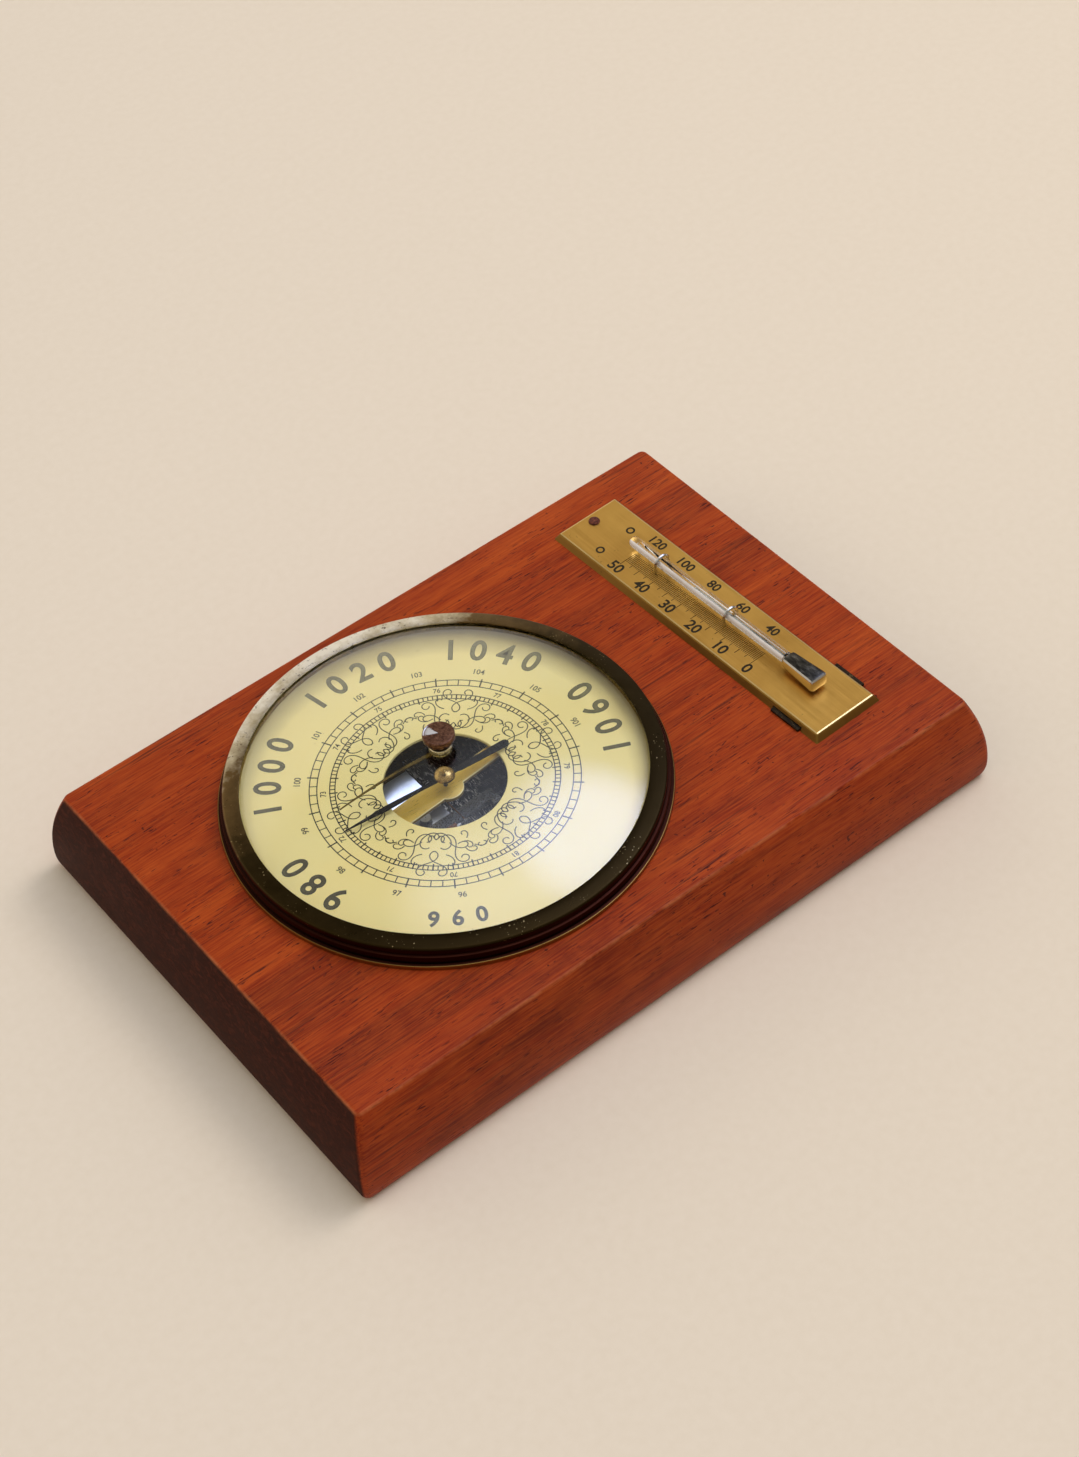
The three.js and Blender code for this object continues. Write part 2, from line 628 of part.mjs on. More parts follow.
function setKnob() {
  const neckFoot = BUSH_TOP + FIT;
  const neckTop = neckFoot + KNOB_NECK_HEIGHT;
  const top = neckTop + KNOB_HEIGHT;
  const spigotFoot = HAND_BOTTOM - HAND_THICK - 0.1;
  return spin([
    [0, spigotFoot], [SPIGOT_RADIUS, spigotFoot], [SPIGOT_RADIUS, HAND_TOP], [STEM_RADIUS, HAND_TOP],
    [STEM_RADIUS, neckFoot], [KNOB_NECK_FOOT, neckFoot], [KNOB_NECK_TOP, neckTop],
    [KNOB_RADIUS, neckTop], [KNOB_RADIUS, top - 0.4], [KNOB_RADIUS - 0.4, top], [0, top],
  ], KNOB_FACETS);
}

// Bowed blade that comes down from under the glass to just over the pointer
function setHand() {
  const bore = SPIGOT_RADIUS + FIT;
  const boss = tube(bore, HAND_BOSS_RADIUS, HAND_BOTTOM, HAND_TOP, SMALL);
  const start = new THREE.Vector2((bore + HAND_BOSS_RADIUS) / 2, (HAND_BOTTOM + HAND_TOP) / 2);
  const end = new THREE.Vector2(SET_HAND_REACH, POINTER_TOP + SET_HAND_TIP_CLEAR + 0.2);
  const bow = new THREE.Vector2(SET_HAND_REACH / 2, (start.y + end.y) / 2 + 2.4);
  const route = new THREE.QuadraticBezierCurve(start, bow, end);
  const steps = 10;
  const rings = [];
  for (let i = 0; i <= steps; i += 1) {
    const at = route.getPoint(i / steps);
    const half = THREE.MathUtils.lerp(0.6, 0.15, i / steps);
    const thick = THREE.MathUtils.lerp(0.22, 0.15, i / steps);
    rings.push([
      [at.x, half, at.y - thick], [at.x, half, at.y + thick],
      [at.x, -half, at.y + thick], [at.x, -half, at.y - thick],
    ]);
  }
  return join(boss, loft(rings));
}

function setHandNut() {
  return tube(SPIGOT_RADIUS + FIT, HAND_NUT_RADIUS, HAND_BOTTOM - HAND_THICK, HAND_BOTTOM, 6);
}

// Pointer

function pointerBlade() {
  const shape = shapeOf([
    [POINTER_REACH, 0.12], [POINTER_BELLY, POINTER_BELLY_HALF], [POINTER_HUB, POINTER_NECK_HALF],
    [-POINTER_HUB, POINTER_NECK_HALF], [-POINTER_SHOULDER, POINTER_TAIL_HALF * 0.75],
    [1.5 - POINTER_TAIL, POINTER_TAIL_HALF], [0.4 - POINTER_TAIL, POINTER_TAIL_HALF * 0.7],
    [-POINTER_TAIL, 0], [0.4 - POINTER_TAIL, -POINTER_TAIL_HALF * 0.7],
    [1.5 - POINTER_TAIL, -POINTER_TAIL_HALF], [-POINTER_SHOULDER, -POINTER_TAIL_HALF * 0.75],
    [-POINTER_HUB, -POINTER_NECK_HALF], [POINTER_HUB, -POINTER_NECK_HALF],
    [POINTER_BELLY, -POINTER_BELLY_HALF], [POINTER_REACH, -0.12],
  ]);
  const blade = slab(shape, POINTER_BOTTOM, POINTER_TOP);
  const hub = rod(POINTER_HUB, POINTER_BOTTOM, POINTER_TOP, SMALL);
  const hole = rod(ARBOR_RADIUS + PIVOT_GAP, POINTER_BOTTOM - 1, POINTER_TOP + 1, TINY);
  return cut(join(blade, hub), hole);
}

function pointerCap() {
  const z = POINTER_TOP;
  return spin([
    [0, z], [CAP_RADIUS, z], [CAP_RADIUS, z + 0.3 * CAP_HEIGHT], [0.84 * CAP_RADIUS, z + 0.65 * CAP_HEIGHT],
    [0.5 * CAP_RADIUS, z + 0.92 * CAP_HEIGHT], [0.2 * CAP_RADIUS, z + CAP_HEIGHT],
    [0.2 * CAP_RADIUS, z + 1.15 * CAP_HEIGHT], [0, z + 1.2 * CAP_HEIGHT],
  ], 16);
}

function pointerArbor() {
  const foot = PLATE_TOP - PLATE_THICK + PIVOT_GAP;
  const colletTop = HAIRSPRING_TOP + 0.1;
  const colletFoot = HAIRSPRING_TOP - HAIRSPRING_HEIGHT - 0.1;
  return spin([
    [0, foot], [ARBOR_RADIUS, foot], [ARBOR_RADIUS, colletFoot], [COLLET_RADIUS, colletFoot],
    [COLLET_RADIUS, colletTop], [ARBOR_RADIUS, colletTop], [ARBOR_RADIUS, POINTER_TOP], [0, POINTER_TOP],
  ], SMALL);
}

// Flat spiral from the collet to the stud, one unbroken strip
function hairspring() {
  const steps = HAIRSPRING_TURNS * 16;
  const rings = [];
  const middle = [];
  for (let i = 0; i <= steps; i += 1) {
    const turn = (i / steps) * HAIRSPRING_TURNS;
    const angle = Math.PI + turn * 2 * Math.PI;
    const radius = HAIRSPRING_START + turn * HAIRSPRING_PITCH;
    const inner = radius - HAIRSPRING_WIDTH / 2;
    const outer = radius + HAIRSPRING_WIDTH / 2;
    const [c, s] = [Math.cos(angle), Math.sin(angle)];
    const low = HAIRSPRING_TOP - HAIRSPRING_HEIGHT;
    rings.push([
      [inner * c, inner * s, low], [inner * c, inner * s, HAIRSPRING_TOP],
      [outer * c, outer * s, HAIRSPRING_TOP], [outer * c, outer * s, low],
    ]);
    middle.push(new THREE.Vector2(radius * c, radius * s));
  }
  console.log('hairspring least gap to itself, mm:', selfGap(middle, HAIRSPRING_WIDTH, 8).toFixed(3));
  return loft(rings);
}

// Least gap between points of a route that are more than some steps apart along it
function selfGap(points, width, apart) {
  let least = Infinity;
  for (let i = 0; i < points.length; i += 1) {
    for (let j = i + apart; j < points.length; j += 1) {
      least = Math.min(least, points[i].distanceTo(points[j]));
    }
  }
  return least - width;
}

// Movement

function basePlate() {
  const plate = rod(BASE_RADIUS, CAN_FLOOR, BASE_TOP, MIDDLE);
  const hole = rod(SMALL_SCREW_RADIUS + FIT, CAN_FLOOR - 1, BASE_TOP + 1, TINY);
  const holes = copiesAt(BASE_SCREW_PLACES, hole);
  const adjust = rod(ADJUST_RADIUS + FIT, CAN_FLOOR - 1, BASE_TOP + 1, SMALL, ADJUST_X, ADJUST_Y);
  return cut(plate, holes, adjust);
}

function baseScrew() {
  return screw(SMALL_SCREW_RADIUS, SMALL_HEAD_RADIUS, SMALL_HEAD_THICK, 0, CAN_WALL + BASE_THICK)
    .rotateX(Math.PI).translate(0, 0, -CAN_DEPTH);
}

function capsule() {
  const edge = 0.4;
  const profile = [
    [0, BASE_TOP], [CAPSULE_FOOT_RADIUS, BASE_TOP], [CAPSULE_FOOT_RADIUS, CAPSULE_BOTTOM],
    [CAPSULE_RADIUS - edge, CAPSULE_BOTTOM], [CAPSULE_RADIUS, CAPSULE_BOTTOM + edge],
    [CAPSULE_RADIUS, CAPSULE_TOP - edge], [CAPSULE_RADIUS - edge, CAPSULE_TOP],
  ];
  const outer = CAPSULE_RADIUS - 1.5;
  const run = (outer - CAPSULE_BOSS_RADIUS - 0.5) / (2 * CAPSULE_WAVES);
  for (let i = 0; i < 2 * CAPSULE_WAVES; i += 1) {
    profile.push([outer - i * run, CAPSULE_TOP - (i % 2 ? CAPSULE_WAVE : 0)]);
  }
  profile.push(
    [CAPSULE_BOSS_RADIUS, CAPSULE_TOP], [CAPSULE_BOSS_RADIUS, CAPSULE_TOP + CAPSULE_BOSS],
    [POST_RADIUS, CAPSULE_TOP + CAPSULE_BOSS], [POST_RADIUS, POST_TOP], [0, POST_TOP],
  );
  const eye = rod(POST_PIN_RADIUS + FIT, -POST_RADIUS - 1, POST_RADIUS + 1, TINY)
    .rotateX(Math.PI / 2).translate(0, 0, PIN_LEVEL);
  return cut(spin(profile, MIDDLE), eye).translate(CAPSULE_X, 0, 0);
}

function postPin() {
  return rod(POST_PIN_RADIUS, -POST_PIN_LENGTH / 2, POST_PIN_LENGTH / 2, TINY)
    .rotateX(Math.PI / 2).translate(CAPSULE_X, 0, PIN_LEVEL);
}

const SPRING_SCREW_PLACE = [-18.5, SPRING_Y];
const LEVER_SCREW_PLACES = [[-24, LEVER_Y], [-15, LEVER_Y]];

// C-shaped leaf: a foot on the base plate, a round bend and a limb over the capsule
function mainspring() {
  const outer = SPRING_THICK + SPRING_GAP / 2;
  const inner = SPRING_GAP / 2;
  const centre = BASE_TOP + outer;
  const shape = new THREE.Shape();
  shape.moveTo(SPRING_BEND_X + SPRING_FOOT, BASE_TOP);
  shape.lineTo(SPRING_BEND_X + SPRING_FOOT, BASE_TOP + SPRING_THICK);
  shape.lineTo(SPRING_BEND_X, BASE_TOP + SPRING_THICK);
  shape.absarc(SPRING_BEND_X, centre, inner, -Math.PI / 2, Math.PI / 2, true);
  shape.lineTo(SPRING_BEND_X + SPRING_LIMB, SPRING_TOP - SPRING_THICK);
  shape.lineTo(SPRING_BEND_X + SPRING_LIMB, SPRING_TOP);
  shape.lineTo(SPRING_BEND_X, SPRING_TOP);
  shape.absarc(SPRING_BEND_X, centre, outer, Math.PI / 2, -Math.PI / 2, false);
  const leaf = slab(shape, -SPRING_WIDTH / 2, SPRING_WIDTH / 2, SMALL)
    .rotateX(Math.PI / 2).translate(0, SPRING_Y, 0);
  const postHole = rod(POST_RADIUS + FIT, centre, SPRING_TOP + 1, SMALL, CAPSULE_X, 0);
  const footHole = rod(SMALL_SCREW_RADIUS + FIT, BASE_TOP - 1, centre, TINY, ...SPRING_SCREW_PLACE);
  const limbHoles = copiesAt(LEVER_SCREW_PLACES, rod(SMALL_SCREW_RADIUS + FIT, centre, SPRING_TOP + 1, TINY));
  return cut(leaf, postHole, footHole, limbHoles);
}

function springScrew() {
  const bottom = BASE_TOP + SPRING_THICK;
  return screw(SMALL_SCREW_RADIUS, SMALL_HEAD_RADIUS, SMALL_HEAD_THICK, bottom, SPRING_THICK);
}

function mainLever() {
  const [low, high] = [LEVER_Y - LEVER_WIDTH / 2, LEVER_Y + LEVER_WIDTH / 2];
  const footLow = SHAFT_Y + CRANK_LENGTH - 1;
  const shape = shapeOf([
    [LEVER_START, low], [LEVER_END - LEVER_FOOT, low], [LEVER_END - LEVER_FOOT, footLow],
    [LEVER_END, footLow], [LEVER_END, high], [LEVER_START, high],
  ]);
  const hole = rod(SMALL_SCREW_RADIUS + FIT, SPRING_TOP - 1, LEVER_TOP + 1, TINY);
  return cut(slab(shape, SPRING_TOP, LEVER_TOP), copiesAt(LEVER_SCREW_PLACES, hole));
}

function leverScrew() {
  const headRadius = LEVER_WIDTH / 2;
  return screw(SMALL_SCREW_RADIUS, headRadius, SMALL_HEAD_THICK, LEVER_TOP, LEVER_THICK + SPRING_THICK);
}

function compensatingStrip() {
  const y = LEVER_Y - LEVER_WIDTH / 2;
  const z = SPRING_TOP + (LEVER_THICK - STRIP_HEIGHT) / 2;
  return box(STRIP_END - STRIP_LENGTH, STRIP_END, y - STRIP_THICK, y, z, z + STRIP_HEIGHT);
}

function link() {
  const foot = SHAFT_LEVEL + CRANK_THICK / 2 + PIVOT_GAP;
  return rod(LINK_RADIUS, foot, SPRING_TOP, TINY, CRANK_X, SHAFT_Y + CRANK_LENGTH);
}

const CHAIN_X = -ARBOR_RADIUS - CHAIN_GAP - CHAIN_RADIUS;

// Spindle with its upright arm for the chain and its short crank for the link
function rockingShaft() {
  const [left, right] = [SHAFT_LEFT, SHAFT_RIGHT];
  const spindle = spin([
    [0, left - SHAFT_PIVOT_LENGTH], [SHAFT_PIVOT, left - SHAFT_PIVOT_LENGTH], [SHAFT_PIVOT, left],
    [SHAFT_RADIUS, left], [SHAFT_RADIUS, right], [SHAFT_PIVOT, right],
    [SHAFT_PIVOT, right + SHAFT_PIVOT_LENGTH], [0, right + SHAFT_PIVOT_LENGTH],
  ], TINY).rotateY(Math.PI / 2).translate(0, SHAFT_Y, SHAFT_LEVEL);
  const arm = box(CHAIN_X - ARM_WIDTH / 2, CHAIN_X + ARM_WIDTH / 2,
    SHAFT_Y - ARM_THICK / 2, SHAFT_Y + ARM_THICK / 2, SHAFT_LEVEL, CHAIN_LEVEL + ARM_TIP);
  const crank = box(CRANK_X - CRANK_WIDTH / 2, CRANK_X + CRANK_WIDTH / 2,
    SHAFT_Y, SHAFT_Y + CRANK_LENGTH + CRANK_TIP,
    SHAFT_LEVEL - CRANK_THICK / 2, SHAFT_LEVEL + CRANK_THICK / 2);
  return join(spindle, arm, crank);
}

// Strip bent up at both ends, where the rocking shaft's pivots run
function shaftBracket() {
  const [left, right] = [SHAFT_LEFT - FIT - BRACKET_THICK, SHAFT_RIGHT + FIT + BRACKET_THICK];
  const [low, high] = [SHAFT_Y - BRACKET_WIDTH / 2, SHAFT_Y + BRACKET_WIDTH / 2];
  const blank = box(left, right, low, high, PLATE_TOP, PLATE_TOP + BRACKET_HEIGHT);
  const room = box(left + BRACKET_THICK, right - BRACKET_THICK, low - 1, high + 1,
    PLATE_TOP + BRACKET_STRIP, PLATE_TOP + BRACKET_HEIGHT + 1);
  const pivots = rod(SHAFT_PIVOT + PIVOT_GAP, left - 1, right + 1, TINY)
    .rotateY(Math.PI / 2).translate(0, SHAFT_Y, SHAFT_LEVEL);
  return cut(blank, room, pivots);
}

function chain() {
  const start = SHAFT_Y + ARM_THICK / 2 + 2 * CHAIN_GAP;
  return rod(CHAIN_RADIUS, start, 0, 8).rotateX(-Math.PI / 2).translate(CHAIN_X, 0, CHAIN_LEVEL);
}

// Blackened plate under the arbor; it carries the rocking shaft and the bridge's right end
function arborPlate() {
  const [[rightX, rightY], [, lowY], [topX, topY]] = PLATE_PILLARS;
  const ear = SHAFT_LEFT - FIT - BRACKET_THICK - PLATE_EAR;
  const earTop = SHAFT_Y + BRACKET_WIDTH / 2 + PLATE_EAR;
  const shape = shapeOf([
    [ear, SHAFT_Y - BRACKET_WIDTH / 2 - PLATE_EAR], [rightX + PLATE_MARGIN, lowY - PLATE_MARGIN],
    [rightX + PLATE_MARGIN, rightY + PLATE_MARGIN], [topX + PLATE_MARGIN, topY + PLATE_MARGIN],
    [topX - PLATE_MARGIN, topY + PLATE_MARGIN], [PLATE_LEFT, PLATE_WAIST],
    [PLATE_LEFT, earTop], [ear, earTop],
  ]);
  const low = PLATE_TOP - PLATE_THICK;
  const pivot = rod(ARBOR_RADIUS + PIVOT_GAP, low - 1, PLATE_TOP + 1, TINY);
  const hole = rod(SMALL_SCREW_RADIUS + FIT, low - 1, PLATE_TOP + 1, TINY);
  return cut(slab(shape, low, PLATE_TOP), pivot, copiesAt(PLATE_PILLARS, hole));
}

function pillar(z0, z1) {
  const hole = rod(SMALL_SCREW_RADIUS + FIT, z1 - SMALL_SCREW_LENGTH, z1 + 1, TINY);
  return cut(rod(PILLAR_RADIUS, z0, z1, SMALL), hole);
}

function plateScrew() {
  return screw(SMALL_SCREW_RADIUS, SMALL_HEAD_RADIUS, SMALL_HEAD_THICK, PLATE_TOP, SMALL_SCREW_LENGTH);
}

const BRIDGE_SCREW_LEFT = [BRIDGE_LEG_WIDTH / 2 - BRIDGE_LEFT, BRIDGE_LEG_WIDTH / 2 - BRIDGE_LEG];
const BRIDGE_SCREW_RIGHT = [BRIDGE_RIGHT - BRIDGE_RIGHT_HALF, 0];
const BRIDGE_SCREW_PLACES = [BRIDGE_SCREW_LEFT, BRIDGE_SCREW_RIGHT];

// Brass strap over the arbor: wide left arm with a leg, round lobe, narrow right arm
function bridge() {
  const legEdge = BRIDGE_LEG_WIDTH - BRIDGE_LEFT;
  const shape = shapeOf([
    [-BRIDGE_LEFT, -BRIDGE_LEG], [legEdge, -BRIDGE_LEG], [legEdge, -BRIDGE_LEFT_HALF],
    [0, -BRIDGE_LEFT_HALF], [0, -BRIDGE_RIGHT_HALF], [BRIDGE_RIGHT, -BRIDGE_RIGHT_HALF],
    [BRIDGE_RIGHT, BRIDGE_RIGHT_HALF], [0, BRIDGE_RIGHT_HALF], [-BRIDGE_SHOULDER, BRIDGE_LEFT_HALF],
    [-BRIDGE_LEFT, BRIDGE_LEFT_HALF],
  ]);
  const lobe = rod(BRIDGE_LOBE, BRIDGE_BOTTOM, BRIDGE_TOP, KNOB_FACETS, 0, -BRIDGE_LOBE_SHIFT);
  const pivot = rod(ARBOR_RADIUS + PIVOT_GAP, BRIDGE_BOTTOM - 1, BRIDGE_TOP + 1, TINY);
  const hole = rod(SMALL_SCREW_RADIUS + FIT, BRIDGE_BOTTOM - 1, BRIDGE_TOP + 1, TINY);
  const holes = copiesAt(BRIDGE_SCREW_PLACES, hole);
  return cut(join(slab(shape, BRIDGE_BOTTOM, BRIDGE_TOP), lobe), pivot, holes);
}

function bridgeScrew() {
  return screw(SMALL_SCREW_RADIUS, SMALL_HEAD_RADIUS, BRIDGE_HEAD_THICK, BRIDGE_TOP, SMALL_SCREW_LENGTH);
}

function hairspringStud() {
  const x = -HAIRSPRING_END - HAIRSPRING_WIDTH / 2 - FIT - STUD_RADIUS;
  return rod(STUD_RADIUS, HAIRSPRING_TOP - HAIRSPRING_HEIGHT, BRIDGE_BOTTOM, TINY, x, 0);
}

function adjustingScrew() {
  const top = BASE_TOP - FIT;
  const neck = CAN_FLOOR - FIT;
  const foot = neck - ADJUST_HEAD_THICK;
  const body = spin([
    [0, foot], [ADJUST_HEAD, foot], [ADJUST_HEAD, neck], [ADJUST_RADIUS, neck],
    [ADJUST_RADIUS, top], [0, top],
  ], SMALL);
  const slot = box(-ADJUST_HEAD - 1, ADJUST_HEAD + 1, -SLOT_WIDTH / 2, SLOT_WIDTH / 2,
    foot - 1, foot + SLOT_DEPTH);
  return cut(body, slot);
}

// Thermometer

function taperedBlock(inset, z0, z1) {
  const at = (z) => 2 * (inset + (PLATE_SLOPE * z) / PLATE_HEIGHT);
  const ring = (z) => roundedRing(PLATE_WIDTH - at(z), PLATE_LENGTH - at(z), 0.3, z, 1);
  return loft([ring(z0), ring(z1)]);
}

// Folded brass tray with its open side down
function thermometerPlate() {
  const hollow = taperedBlock(PLATE_SHEET, -1, PLATE_HEIGHT - PLATE_SHEET);
  const [low, high] = [BRACKET_BAR_Y - BRACKET_BAR_WIDTH / 2, BRACKET_BAR_Y + BRACKET_BAR_WIDTH / 2];
  const notch = box(-PLATE_WIDTH, PLATE_WIDTH, low - FIT, high + FIT, -1, BRACKET_BAR_THICK + FIT);
  const nail = rod(NAIL_RADIUS + FIT, 0, PLATE_HEIGHT + 1, TINY, 0, PLATE_LENGTH / 2 - NAIL_INSET);
  return cut(taperedBlock(0, 0, PLATE_HEIGHT), hollow, notch, nail);
}

function plateNail() {
  return spin([
    [0, 1 - NAIL_LENGTH], [NAIL_RADIUS, 2 - NAIL_LENGTH], [NAIL_RADIUS, PLATE_HEIGHT],
    [NAIL_HEAD, PLATE_HEIGHT], [0.8 * NAIL_HEAD, PLATE_HEIGHT + 0.6 * NAIL_DOME],
    [0, PLATE_HEIGHT + NAIL_DOME],
  ], 12).translate(0, PLATE_LENGTH / 2 - NAIL_INSET, 0);
}

function lowerBracket() {
  const bar = box(-BRACKET_BAR_LENGTH / 2, BRACKET_BAR_LENGTH / 2,
    BRACKET_BAR_Y - BRACKET_BAR_WIDTH / 2, BRACKET_BAR_Y + BRACKET_BAR_WIDTH / 2, 0, BRACKET_BAR_THICK);
  return cut(bar, rod(SMALL_SCREW_RADIUS + FIT, -1, 2, TINY, 0, BRACKET_BAR_Y));
}

function bracketScrew() {
  const headThick = PLATE_HEIGHT - PLATE_SHEET - BRACKET_BAR_THICK - FIT;
  return screw(SMALL_SCREW_RADIUS, SMALL_HEAD_RADIUS, headThick, BRACKET_BAR_THICK,
    NAIL_LENGTH - 1).translate(0, BRACKET_BAR_Y, 0);
}

// Turns a body spun about Z so that it lies up the plate on the tube's axis
function layOnPlate(geometry) {
  return geometry.rotateX(-Math.PI / 2).translate(TUBE_X, 0, TUBE_LEVEL);
}

function thermometerTube() {
  const dome = TUBE_RADIUS;
  return layOnPlate(spin([
    [0, TUBE_TOP], [0.7 * TUBE_RADIUS, TUBE_TOP - 0.3 * dome], [TUBE_RADIUS, TUBE_TOP - dome],
    [TUBE_RADIUS, TUBE_FOOT], [TUBE_BORE, TUBE_FOOT], [TUBE_BORE, TUBE_TOP - 3 * dome],
    [0, TUBE_TOP - 2.5 * dome],
  ], SMALL));
}

function thermometerColumn() {
  return layOnPlate(rod(COLUMN_RADIUS, TUBE_FOOT, COLUMN_TOP, TINY));
}

function thermometerBulb() {
  const start = TUBE_FOOT - FIT;
  const shoulders = [[0, 0.45], [0.16, 0.9], [0.28, 1], [0.9, 1], [1, 0.86]];
  const rings = shoulders.map(([along, size]) => {
    const ring = roundedRing(BULB_WIDTH * size, BULB_HEIGHT * size, 1.1 * size, 0, 3);
    return ring.map(([x, z]) => [TUBE_X + x, start - along * BULB_LENGTH, TUBE_LEVEL + z]);
  });
  return loft(rings);
}

function tubeClip(y) {
  const ringRadius = TUBE_RADIUS + FIT + CLIP_WIRE;
  const loop = new THREE.TorusGeometry(ringRadius, CLIP_WIRE, 6, SMALL).rotateX(Math.PI / 2);
  const foot = box(-0.8, 0.8, -CLIP_WIRE, CLIP_WIRE, -TUBE_LIFT, -ringRadius);
  return join(loop, foot).translate(TUBE_X, y, TUBE_LEVEL);
}

// Hanger

function hangerPlate() {
  const [z0, z1] = [HANGER_RECESS - HANGER_THICK, HANGER_RECESS];
  const blank = box(-HANGER_LENGTH / 2, HANGER_LENGTH / 2, -HANGER_WIDTH / 2, HANGER_WIDTH / 2, z0, z1);
  const round = rod(KEYHOLE_RADIUS, z0 - 1, z1 + 1, 24, 0, -KEYHOLE_DROP);
  const end = KEYHOLE_TRAVEL - KEYHOLE_DROP;
  const slotEnd = rod(KEYHOLE_SLOT, z0 - 1, z1 + 1, SMALL, 0, end);
  const slot = box(-KEYHOLE_SLOT, KEYHOLE_SLOT, -KEYHOLE_DROP, end, z0 - 1, z1 + 1);
  const hole = rod(HANGER_SCREW_RADIUS + FIT, z0 - 1, z1 + 1, TINY);
  const holes = copiesAt(HANGER_SCREW_PLACES, hole);
  return cut(blank, round, slotEnd, slot, holes);
}

function hangerScrew() {
  const headThick = HANGER_RECESS - HANGER_THICK - FIT;
  return screw(HANGER_SCREW_RADIUS, HANGER_SCREW_HEAD, headThick, 0, HANGER_SCREW_LENGTH)
    .rotateX(Math.PI).translate(0, 0, HANGER_RECESS - HANGER_THICK);
}

// Assembly

function add(group, name, geometry, finish) {
  const mesh = new THREE.Mesh(closed(geometry), material(finish));
  mesh.name = name;
  group.add(mesh);
}

// Same piece at several places, numbered from 1
function addEach(group, name, places, geometry, finish) {
  places.forEach(([x, y], i) => {
    const mesh = new THREE.Mesh(closed(geometry), material(finish));
    mesh.name = `${name}_${i + 1}`;
    mesh.position.set(x, y, 0);
    group.add(mesh);
  });
}

function turned(x, y, z, degrees = 0) {
  const group = new THREE.Group();
  group.position.set(x, y, z);
  group.rotation.z = THREE.MathUtils.degToRad(degrees);
  return group;
}

function barometer() {
  const group = turned(DIAL_X, DIAL_Y, BOARD_HEIGHT);
  add(group, 'case_can', caseCan(), 'antiqueBrass');
  addEach(group, 'case_screw', CASE_SCREW_PLACES, caseScrew(), 'steel');
  add(group, 'bezel', bezel(), 'antiqueBrass');
  add(group, 'dial_plate', dialPlate(), 'dial');
  add(group, 'glass_retaining_ring', retainingRing(), 'brass');
  add(group, 'glass', glassDome(), 'glass');
  add(group, 'glass_bush', glassBush(), 'brass');
  group.add(movement(), strap(), pointer(), setHandGroup());
  return group;
}

function movement() {
  const group = turned(0, 0, 0);
  add(group, 'base_plate', basePlate(), 'brass');
  addEach(group, 'base_screw', BASE_SCREW_PLACES, baseScrew(), 'steel');
  add(group, 'aneroid_capsule', capsule(), 'silver');
  add(group, 'post_pin', postPin(), 'steel');
  add(group, 'mainspring', mainspring(), 'steel');
  addEach(group, 'spring_screw', [SPRING_SCREW_PLACE], springScrew(), 'steel');
  add(group, 'main_lever', mainLever(), 'steel');
  addEach(group, 'lever_screw', LEVER_SCREW_PLACES, leverScrew(), 'steel');
  add(group, 'compensating_strip', compensatingStrip(), 'copper');
  add(group, 'lever_link', link(), 'steel');
  add(group, 'rocking_shaft', rockingShaft(), 'steel');
  add(group, 'shaft_bracket', shaftBracket(), 'brass');
  add(group, 'chain', chain(), 'bronze');
  add(group, 'arbor_plate', arborPlate(), 'blackSteel');
  addEach(group, 'plate_pillar', PLATE_PILLARS, pillar(BASE_TOP, PLATE_TOP - PLATE_THICK), 'brass');
  addEach(group, 'plate_screw', PLATE_PILLARS, plateScrew(), 'steel');
  add(group, 'adjusting_screw', adjustingScrew().translate(ADJUST_X, ADJUST_Y, 0), 'steel');
  return group;
}

function strap() {
  const group = turned(0, 0, 0, BRIDGE_TURN);
  add(group, 'bridge', bridge(), 'brass');
  addEach(group, 'bridge_screw', BRIDGE_SCREW_PLACES, bridgeScrew(), 'steel');
  add(group, 'hairspring', hairspring(), 'bronze');
  add(group, 'hairspring_stud', hairspringStud(), 'brass');
  const [leftX, leftY] = BRIDGE_SCREW_LEFT;
  const [rightX, rightY] = BRIDGE_SCREW_RIGHT;
  add(group, 'bridge_pillar_left', pillar(BASE_TOP, BRIDGE_BOTTOM).translate(leftX, leftY, 0), 'brass');
  add(group, 'bridge_pillar_right', pillar(PLATE_TOP, BRIDGE_BOTTOM).translate(rightX, rightY, 0), 'brass');
  return group;
}

function pointer() {
  const group = turned(0, 0, 0, POINTER_ANGLE);
  add(group, 'pointer', pointerBlade(), 'blackSteel');
  add(group, 'pointer_cap', pointerCap(), 'brass');
  add(group, 'pointer_arbor', pointerArbor(), 'steel');
  return group;
}

function setHandGroup() {
  const group = turned(0, 0, 0, SET_HAND_ANGLE);
  add(group, 'set_knob', setKnob(), 'bronze');
  add(group, 'set_hand', setHand(), 'brass');
  add(group, 'set_hand_nut', setHandNut(), 'brass');
  return group;
}

function thermometer() {
  const group = turned(PLATE_X, PLATE_Y, BOARD_HEIGHT, PLATE_TURN);
  add(group, 'thermometer_plate', thermometerPlate(), 'brass');
  add(group, 'plate_nail', plateNail(), 'rust');
  add(group, 'plate_lower_bracket', lowerBracket(), 'blackSteel');
  add(group, 'bracket_screw', bracketScrew(), 'steel');
  add(group, 'thermometer_tube', thermometerTube(), 'glass');
  add(group, 'thermometer_column', thermometerColumn(), 'silver');
  add(group, 'thermometer_bulb', thermometerBulb(), 'silver');
  add(group, 'tube_clip_upper', tubeClip(TUBE_TOP - CLIP_DROPS[0]), 'silver');
  add(group, 'tube_clip_lower', tubeClip(TUBE_TOP - CLIP_DROPS[1]), 'silver');
  return group;
}

